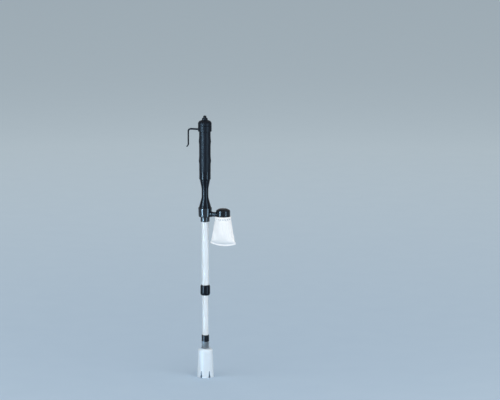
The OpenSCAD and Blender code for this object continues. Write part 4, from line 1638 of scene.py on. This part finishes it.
@dataclass
class FilterBag:
    """The gathered cloth bag: a hem over the elastic, a body that hangs from it and a sewn bottom seam.

    A fade is the share of the body's length over which something dies away. A power bends a share of the way
    so that its change comes late, and the hem's powers make its section squarer. Waves are given by their
    height, their pace and their start. The strip's section has points of height and half width, where the
    shares are of the strip's height and every half width is a share of half its thickness.
    """

    box: Extent = box_of("filter_bag")
    elastic: Extent = box_of("bag_elastic")
    cut_w: float = 150.0
    around: int = 160
    along: int = 56
    drift: tuple[tuple[float, float, float], ...] = ((0.9, 2, 0.4), (0.6, 3, 1.9))
    swing: tuple[float, float, float] = (0.75, 0.25, 5)

    hem_h: float = 9.8
    hem_r: float = 23.05
    hem_t: float = 3.6
    hem_section: int = 44
    hem_powers: Point = (0.55, 0.62)
    hem_fold: float = 0.55
    hem_fold_top: float = 0.3
    hem_dip: float = 3.5
    dip_spread: float = math.radians(40)
    elastic_h: float = 0.35
    elastic_up: float = 1.0
    elastic_spread: float = 2.2
    puckers: int = 19
    pucker_h: float = 0.6
    groove: float = 0.9
    mark_share: float = -0.035
    mark_spread: float = 0.028
    mark_size: tuple[float, float, float] = (4.2, 0.9, 2.0)

    tuck: float = 0.6
    gather_r: float = 21.9
    gathers: int = 29
    gather_h: float = 1.0
    gather_fade: float = 0.07
    pinch: float = 1.8
    pinch_fade: float = 0.03
    folds: int = 11
    fold_h: float = 0.9
    fold_fade: float = 0.4
    fold_start: float = 0.1
    fold_power: float = 0.4
    bow: float = 4.0
    bow_power: int = 2
    seam_w: float = 74.0
    sag: float = 6.5
    sag_power: int = 4
    depth_power: float = 2.8
    cloth_t: float = 0.45

    strip_h: float = 3.4
    strip_t: float = 1.1
    strip_top: Point = (0.6, 0.0)
    strip_edge: Point = (0.2, 0.8)
    strip_shares: tuple[Point, ...] = ((-0.35, 0.75), (-0.5, 0.45), (-0.65, 0.8), (-0.92, 0.9), (-1.0, 0.4))
    strip_waves: tuple[tuple[float, float, float], ...] = ((0.25, 0.37, 0), (0.15, 0.91, 1))
    stitch_pitch: float = 2.6
    stitch_size: tuple[float, float, float] = (2.1, 0.5, 0.5)
    stitch_in: float = 0.3
    stitch_margin: int = 3

    pinned_rows: int = 3
    sim_scale: float = 10.0
    frames: int = 36
    most_moved: float = 4.5

    @property
    def hem_low(self) -> float:
        """Level of the hem's lower edge."""
        return self.box.top - self.hem_h

    @property
    def body_l(self) -> float:
        """Length of the body from the hem to the top of the seam strip at its corners."""
        return self.hem_low - self.box.bottom - self.sag - self.strip_h

    def ripple(self, angle: float, count: int) -> float:
        """Gives folds of uneven width and height round the bag.

        Args:
            angle: Angle round the bag.
            count: Number of folds.

        Returns:
            Height from -1 to 1.
        """
        middle, height, pace = self.swing
        swing = middle + height * math.sin(pace * angle + count)
        return swing * math.cos(count * angle + waves(angle, *self.drift))

    def body_point(self, turn: float, share: float) -> Vector:
        """Gives a point of the body before it hangs.

        Args:
            turn: Share of a turn round the bag.
            share: Share of the way from the hem to the seam.

        Returns:
            The point.
        """
        angle = math.tau * turn
        gather = self.gather_h * self.ripple(angle, self.gathers) * math.exp(-share / self.gather_fade)
        fold = self.fold_h * self.ripple(angle, self.folds) * math.exp(-share / self.fold_fade)
        fold *= min(1.0, share / self.fold_start)
        out = (gather + fold) * max(0.0, 1 - share) ** self.fold_power
        out -= self.pinch * math.exp(-share / self.pinch_fade)
        bow = self.bow * math.sin(math.pi * share**self.bow_power)
        half_w = self.gather_r + (self.seam_w / 2 - self.gather_r) * share + bow + out
        half_d = self.gather_r * (1 - share**self.depth_power) + out * (1 - share)
        drop_z = self.body_l * share + self.sag * share**self.sag_power * math.sin(angle) ** 2
        x = self.box.middle_x + half_w * math.cos(angle)
        return Vector((x, half_d * math.sin(angle), self.hem_low + self.tuck - drop_z))

    def body_rows(self) -> list[list[int]]:
        """Numbers the points of the body, row by row.

        Returns:
            For each row, the number of each point round it. The front and back share the last row.
        """
        rows = [[i * self.around + j for j in range(self.around)] for i in range(self.along)]
        rows.append([self.along * self.around + min(j, self.around - j) for j in range(self.around)])
        return rows

    def body_points(self) -> list[Vector]:
        """Gives every point of the body before it hangs.

        Returns:
            The points, row by row.
        """
        points = [
            self.body_point(j / self.around, i / self.along)
            for i in range(self.along) for j in range(self.around)
        ]
        return points + [self.body_point(j / self.around, 1.0) for j in range(self.around // 2 + 1)]

    def hanging_cloth(self, points: list[Vector], scale: float) -> bpy.types.Object:
        """Builds the body as a plain cloth that is held by its hem and its seam.

        Args:
            points: The body's points.
            scale: Metres in the simulation for each millimetre of the bag.

        Returns:
            The cloth, ready to hang.
        """
        mesh = bpy.data.meshes.new("hanging_cloth")
        mesh.from_pydata([p * scale for p in points], [], self.body_faces())
        cloth = bpy.data.objects.new("hanging_cloth", mesh)
        bpy.context.scene.collection.objects.link(cloth)
        held = cloth.vertex_groups.new(name="held")
        for i, row in enumerate(self.body_rows()):
            free = min(i - self.pinned_rows, self.along - i)
            held.add(row, max(0.0, 1 - max(0, free) / self.pinned_rows), "REPLACE")
        modifier = cloth.modifiers.new("hang", "CLOTH")
        for name, value in CLOTH_SETTINGS.items():
            setattr(modifier.settings, name, value)
        modifier.settings.vertex_group_mass = held.name
        modifier.point_cache.frame_start = 1
        modifier.point_cache.frame_end = self.frames
        return cloth

    def hang(self, points: list[Vector]) -> list[Vector]:
        """Lets the body hang from its hem as cloth.

        Args:
            points: The body's points.

        Returns:
            The points after the cloth has settled.
        """
        scale = self.sim_scale * MM
        cloth = self.hanging_cloth(points, scale)
        scene = bpy.context.scene
        for number in range(1, self.frames + 1):
            scene.frame_set(number)
        graph = bpy.context.evaluated_depsgraph_get()
        hung = [v.co / scale for v in cloth.evaluated_get(graph).data.vertices]
        scene.frame_set(1)
        drop(cloth)
        result = []
        for start, end in zip(points, hung):
            move = end - start
            move *= min(1.0, self.most_moved / max(move.length, TINY))
            result.append(start + move)
        LOG.info("bag hung: moved %.1f mm at most", max((b - a).length for a, b in zip(points, hung)))
        return result

    def body_faces(self) -> list[tuple[int, ...]]:
        """Gives the faces of the body.

        Returns:
            For each face, the numbers of its points.
        """
        rows = self.body_rows()
        faces = []
        for row, below in zip(rows, rows[1:]):
            for j in range(self.around):
                k = (j + 1) % self.around
                face = tuple(dict.fromkeys((row[j], below[j], below[k], row[k])))
                if len(face) > 2:
                    faces.append(face)
        return faces

    def build_body(self, points: list[Vector]) -> bpy.types.Object:
        """Builds the body as cloth with a thickness.

        Args:
            points: The body's points after hanging.

        Returns:
            The body.
        """
        shape = bmesh.new()
        verts = [shape.verts.new(p) for p in points]
        weave = shape.loops.layers.uv.new("weave")
        for face in self.body_faces():
            made = shape.faces.new([verts[i] for i in face])
            for loop, number in zip(made.loops, face):
                row, column = divmod(number, self.around)
                place = (column / self.around * self.cut_w, row / self.along * self.body_l)
                loop[weave].uv = Vector(place) * MM
        body = piece_of("filter_bag_cloth", shape)
        solid = body.modifiers.new("cloth", "SOLIDIFY")
        solid.thickness = self.cloth_t * MM
        solid.offset = -1
        settle(body)
        return body

    def hem_point(self, turn: float, round_share: float) -> Vector:
        """Gives a point of the hem, which is a puffed band with fine uneven gathers.

        Args:
            turn: Share of a turn round the bag.
            round_share: Share of the way round the band's section, from its outer side up.

        Returns:
            The point.
        """
        angle = math.tau * turn
        way = math.tau * round_share
        across, up = math.cos(way), math.sin(way)
        out = math.copysign(abs(across) ** self.hem_powers[0], across)
        rise = math.copysign(abs(up) ** self.hem_powers[1], up)
        height = self.box.top - self.hem_h / 2 + self.hem_h / 2 * rise
        fold = self.ripple(angle, self.puckers)
        low = self.hem_fold_top + (1 - self.hem_fold_top) * (1 - rise) / 2
        off_mark = math.remainder(round_share - self.mark_share, 1.0)
        drawn = math.exp(-((off_mark / self.mark_spread) ** 2))
        over = (height - self.elastic.bottom - self.elastic_up) / self.elastic_spread
        elastic = self.elastic_h * (math.exp(-(over**2)) - 1)
        radius = self.hem_r - self.hem_t / 2 + self.hem_t / 2 * out
        radius += max(0.0, out) * (self.hem_fold * fold * low + elastic)
        radius += max(0.0, out) * drawn * (self.pucker_h * fold - self.groove)
        off = abs(math.remainder(angle - math.pi, math.tau))
        dip = math.cos(off / self.dip_spread * math.pi / 2) ** 2 if off < self.dip_spread else 0.0
        height -= self.hem_dip * dip * (1 + rise) / 2
        return Vector((self.box.middle_x + radius * math.cos(angle), radius * math.sin(angle), height))

    def build_hem(self) -> bpy.types.Object:
        """Builds the hem.

        Returns:
            The hem.
        """
        rings = [
            [self.hem_point(i / self.around, j / self.hem_section) for j in range(self.hem_section)]
            for i in range(self.around)
        ]
        girth = 2 * (self.hem_h + self.hem_t)
        step = (self.cut_w / self.around, girth / self.hem_section)
        return woven_grid("filter_bag_hem", rings, ring=True, step=step)

    def build_strip(self, line: list[Vector]) -> bpy.types.Object:
        """Builds the flat sewn strip under the body.

        Args:
            line: The bottom line of the body.

        Returns:
            The strip.
        """
        half = self.strip_t / 2
        below = ((share * self.strip_h, y) for share, y in self.strip_shares)
        section = (self.strip_top, self.strip_edge, *below)
        outline = [*section, *((z, -y) for z, y in reversed(section[1:]))]
        rows = []
        for i, point in enumerate(line):
            wave = waves(i, *self.strip_waves)
            offsets = (Vector((0, y * half - wave * min(0.0, z) / 2, z)) for z, y in outline)
            rows.append([point + offset for offset in offsets])
        return woven_grid("filter_bag_seam", rows, ring=False, step=(self.cut_w / self.around, 1.0))

    def sew(
        self,
        name: str,
        lines: Sequence[Sequence[Vector]],
        pitch: float,
        stitch: Sequence[float],
        finish: Finish,
    ) -> bpy.types.Object:
        """Sews stitches along some lines.

        Args:
            name: Name of the piece.
            lines: Points of each line.
            pitch: Length from one stitch to the next.
            stitch: A stitch's size along the line and across it.
            finish: Finish of the thread.

        Returns:
            The stitches.
        """
        shape = bmesh.new()
        for line in lines:
            row = [shape.verts.new(point) for point in line]
            for start, end in zip(row, row[1:]):
                shape.edges.new((start, end))
        stitches = piece_of(name, shape)
        size = [length * MM for length in stitch]
        stitch_tool().use(stitches, Pitch=pitch * MM, Size=size, Material=material(finish))
        dress(stitches, Body.BAG, finish)
        return stitches

    def build_stitches(self, line: list[Vector]) -> list[bpy.types.Object]:
        """Sews a dark row along the hem's gathers, which stands for the thread and paints the shade of the
        puckers, and the two sides of the seam.

        Args:
            line: The bottom line of the body.

        Returns:
            The pieces of thread.
        """
        ring = [self.hem_point(i / self.around, self.mark_share) for i in range(self.around + 1)]
        pitch = math.tau * self.hem_r / self.puckers
        inner = line[self.stitch_margin:-self.stitch_margin]
        seams = []
        for side in (-1, 1):
            step = Vector((0, side * self.stitch_in * self.strip_t, -self.strip_h / 2))
            seams.append([point + step for point in inner])
        return [
            # This dark row paints the shade of the puckers as well as standing for the thread
            self.sew("filter_bag_gathers", [ring], pitch, self.mark_size, THREAD_AND_PUCKER_SHADE),
            self.sew("filter_bag_stitches", seams, self.stitch_pitch, self.stitch_size, CLOTH),
        ]

    def build(self) -> None:
        """Builds the bag."""
        points = self.body_points()
        points = self.hang(points)
        line = points[self.along * self.around:]
        body, hem, strip = self.build_body(points), self.build_hem(), self.build_strip(line)
        dress(body, Body.BAG, CLOTH, "filter_bag")
        dress(hem, Body.BAG, CLOTH)
        dress(strip, Body.BAG, CLOTH)
        trims = [hem, strip, *self.build_stitches(line)]


@dataclass
class Inside:
    """The nodes of the frame that keep their own shape, most of them inside."""

    def build(self) -> None:
        """Gives each node its material."""
        for finish, nodes in INNER_NODES.items():
            for node in nodes:
                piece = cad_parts[node]
                piece.data.materials.clear()
                piece.data.materials.append(material(finish))
                LOG.info("%s: dressed in %s", node, finish.name)


# Colour of the lamps that only glossy surfaces show
LINE_COLOUR: Colour = (0.45, 0.73, 1.0)


@dataclass
class Lamp:
    """A soft box that faces the axis of the tube at some height over the floor.

    Its turn and lift are in degrees, its lengths in metres and its power in watts.
    """

    name: str
    turn: float
    lift: float
    distance: float
    aim: float
    width: float
    height: float
    power: float
    reach: Reach = Reach.ALL

    def build(self, floor_z: float) -> None:
        """Places the lamp.

        Args:
            floor_z: Level of the floor.
        """
        light = bpy.data.lights.new(self.name, "AREA")
        light.shape = "RECTANGLE"
        light.size = self.width
        light.size_y = self.height
        light.energy = self.power
        lamp = bpy.data.objects.new(self.name, light)
        bpy.context.scene.collection.objects.link(lamp)
        lamp.visible_camera = False
        lamp.visible_diffuse, lamp.visible_glossy = self.reach.value
        if self.reach is Reach.SHINE:
            light.color = LINE_COLOUR
            lamp.visible_transmission = False
        back = away(self.turn, self.lift)
        lamp.location = Vector((0, 0, floor_z + self.aim)) + back * self.distance
        lamp.rotation_euler = back.to_track_quat("Z", "Y").to_euler()


def away(turn: float, lift: float) -> Vector:
    """Gives the direction to what stands some degrees to the right of the object's front and above it."""
    a, e = math.radians(turn), math.radians(lift)
    return Vector((math.sin(a) * math.cos(e), -math.cos(a) * math.cos(e), math.sin(e)))


@dataclass
class Studio:
    """Floor, light and camera.

    Lengths are in metres here, apart from the lens, the sensor and the floor's clouds in millimetres. The
    camera's turn and lift are in degrees.
    """

    turn: float = 20.0
    lift: float = 9.5
    lens: float = 200.0
    sensor: float = 36.0
    frame_px: tuple[int, int] = (500, 400)
    grip_px: Point = (204.9, 150.9)
    mm_per_px: float = 2.76
    clip_end: float = 200.0
    floor_r: float = 60.0
    floor_sides: int = 96
    floor_roughness: float = 0.8
    cloud: float = 90.0
    cloud_range: Span = (-0.02, 0.02)
    near_floor: Colour = (0.52, 0.65, 0.78)
    far_floor: Colour = (0.80, 0.92, 0.99)
    fade: Span = (0.6, 4.5)
    world_colour: Colour = (0.92, 0.96, 1.0)
    world_strength: float = 0.45
    # name, turn, lift, distance, aim, width, height, power, reach
    lamps: tuple[Lamp, ...] = (
        Lamp("left_fill", -38, 0, 5.0, 1.8, 6.0, 2.8, 106, Reach.FILL),
        Lamp("left_line", -29, 0, 1.0, 0.66, 0.1, 1.3, 36, Reach.SHINE),
        Lamp("foot_line", -29, 0, 0.35, 0.055, 0.05, 0.1, 0.9, Reach.SHINE),
        Lamp("right_fill", 56, 0, 5.0, 1.8, 6.0, 2.8, 151, Reach.FILL),
        Lamp("right_line", 68, 0, 1.0, 0.66, 0.2, 1.3, 12.5, Reach.SHINE),
        Lamp("arm_line", -20, 10, 2.0, 0.46, 0.8, 0.2, 30, Reach.SHINE),
        Lamp("top_box", 15, 65, 4.4, 0.3, 2.8, 2.8, 18),
        Lamp("back_box", 200, 50, 4.4, 0.3, 2.8, 2.8, 14, Reach.FILL),
    )

    def build_floor(self) -> None:
        """Builds the pale floor under the foot."""
        shape = bmesh.new()
        down = Matrix.Translation((0, 0, CAD_BOX[0].z / MM))
        bmesh.ops.create_circle(
            shape, cap_ends=True, segments=self.floor_sides, radius=self.floor_r / MM, matrix=down,
        )
        floor = piece_of("floor", shape)
        shader = Shader("pale_floor")
        place = shader.place(Coordinates.OBJECT)
        cloud = shader.spread(shader.noise(place, self.cloud), *self.cloud_range)
        way = shader.math("ADD", shader.spread(shader.distance(place), 0, 1, self.fade), cloud)
        shader.feed("base_color", shader.blend(way, self.near_floor, self.far_floor))
        shader.set(roughness=self.floor_roughness, specular_ior_level=0.0)
        floor.data.materials.append(shader.material)

    def build_light(self) -> None:
        """Builds the world and the lamps."""
        world = bpy.data.worlds.new("studio")
        world.use_nodes = True
        background = world.node_tree.nodes["Background"]
        background.inputs["Color"].default_value = (*self.world_colour, 1)
        background.inputs["Strength"].default_value = self.world_strength
        bpy.context.scene.world = world
        for lamp in self.lamps:
            lamp.build(CAD_BOX[0].z)

    def build_camera(self) -> None:
        """Builds the camera so that the grip falls where the photograph has it."""
        data = bpy.data.cameras.new("camera")
        data.lens = self.lens
        data.sensor_width = self.sensor
        data.clip_end = self.clip_end
        camera = bpy.data.objects.new("camera", data)
        bpy.context.scene.collection.objects.link(camera)
        back = away(self.turn, self.lift)
        right = Vector((0, 0, 1)).cross(back).normalized()
        up = back.cross(right)
        scale = self.mm_per_px * MM
        across = self.frame_px[0] / 2 - self.grip_px[0]
        down = self.frame_px[1] / 2 - self.grip_px[1]
        aim = right * across * scale - up * down * scale
        camera.location = aim + back * (self.frame_px[0] * scale * self.lens / self.sensor)
        camera.rotation_euler = back.to_track_quat("Z", "Y").to_euler()
        bpy.context.scene.camera = camera

    def build(self) -> None:
        """Builds the whole studio."""
        bpy.context.scene.view_settings.view_transform = "Standard"
        self.build_floor()
        self.build_light()
        self.build_camera()


def main() -> None:
    """Builds the studio and every sub-assembly."""
    logging.basicConfig(level=logging.INFO, format="%(message)s")
    for part in (Studio, Grip, Head, Hook, Pump, Tubes, Intake, BagCap, FilterBag, Inside):
        LOG.info("building %s", part.__name__)
        part().build()


if __name__ == "__main__":
    main()
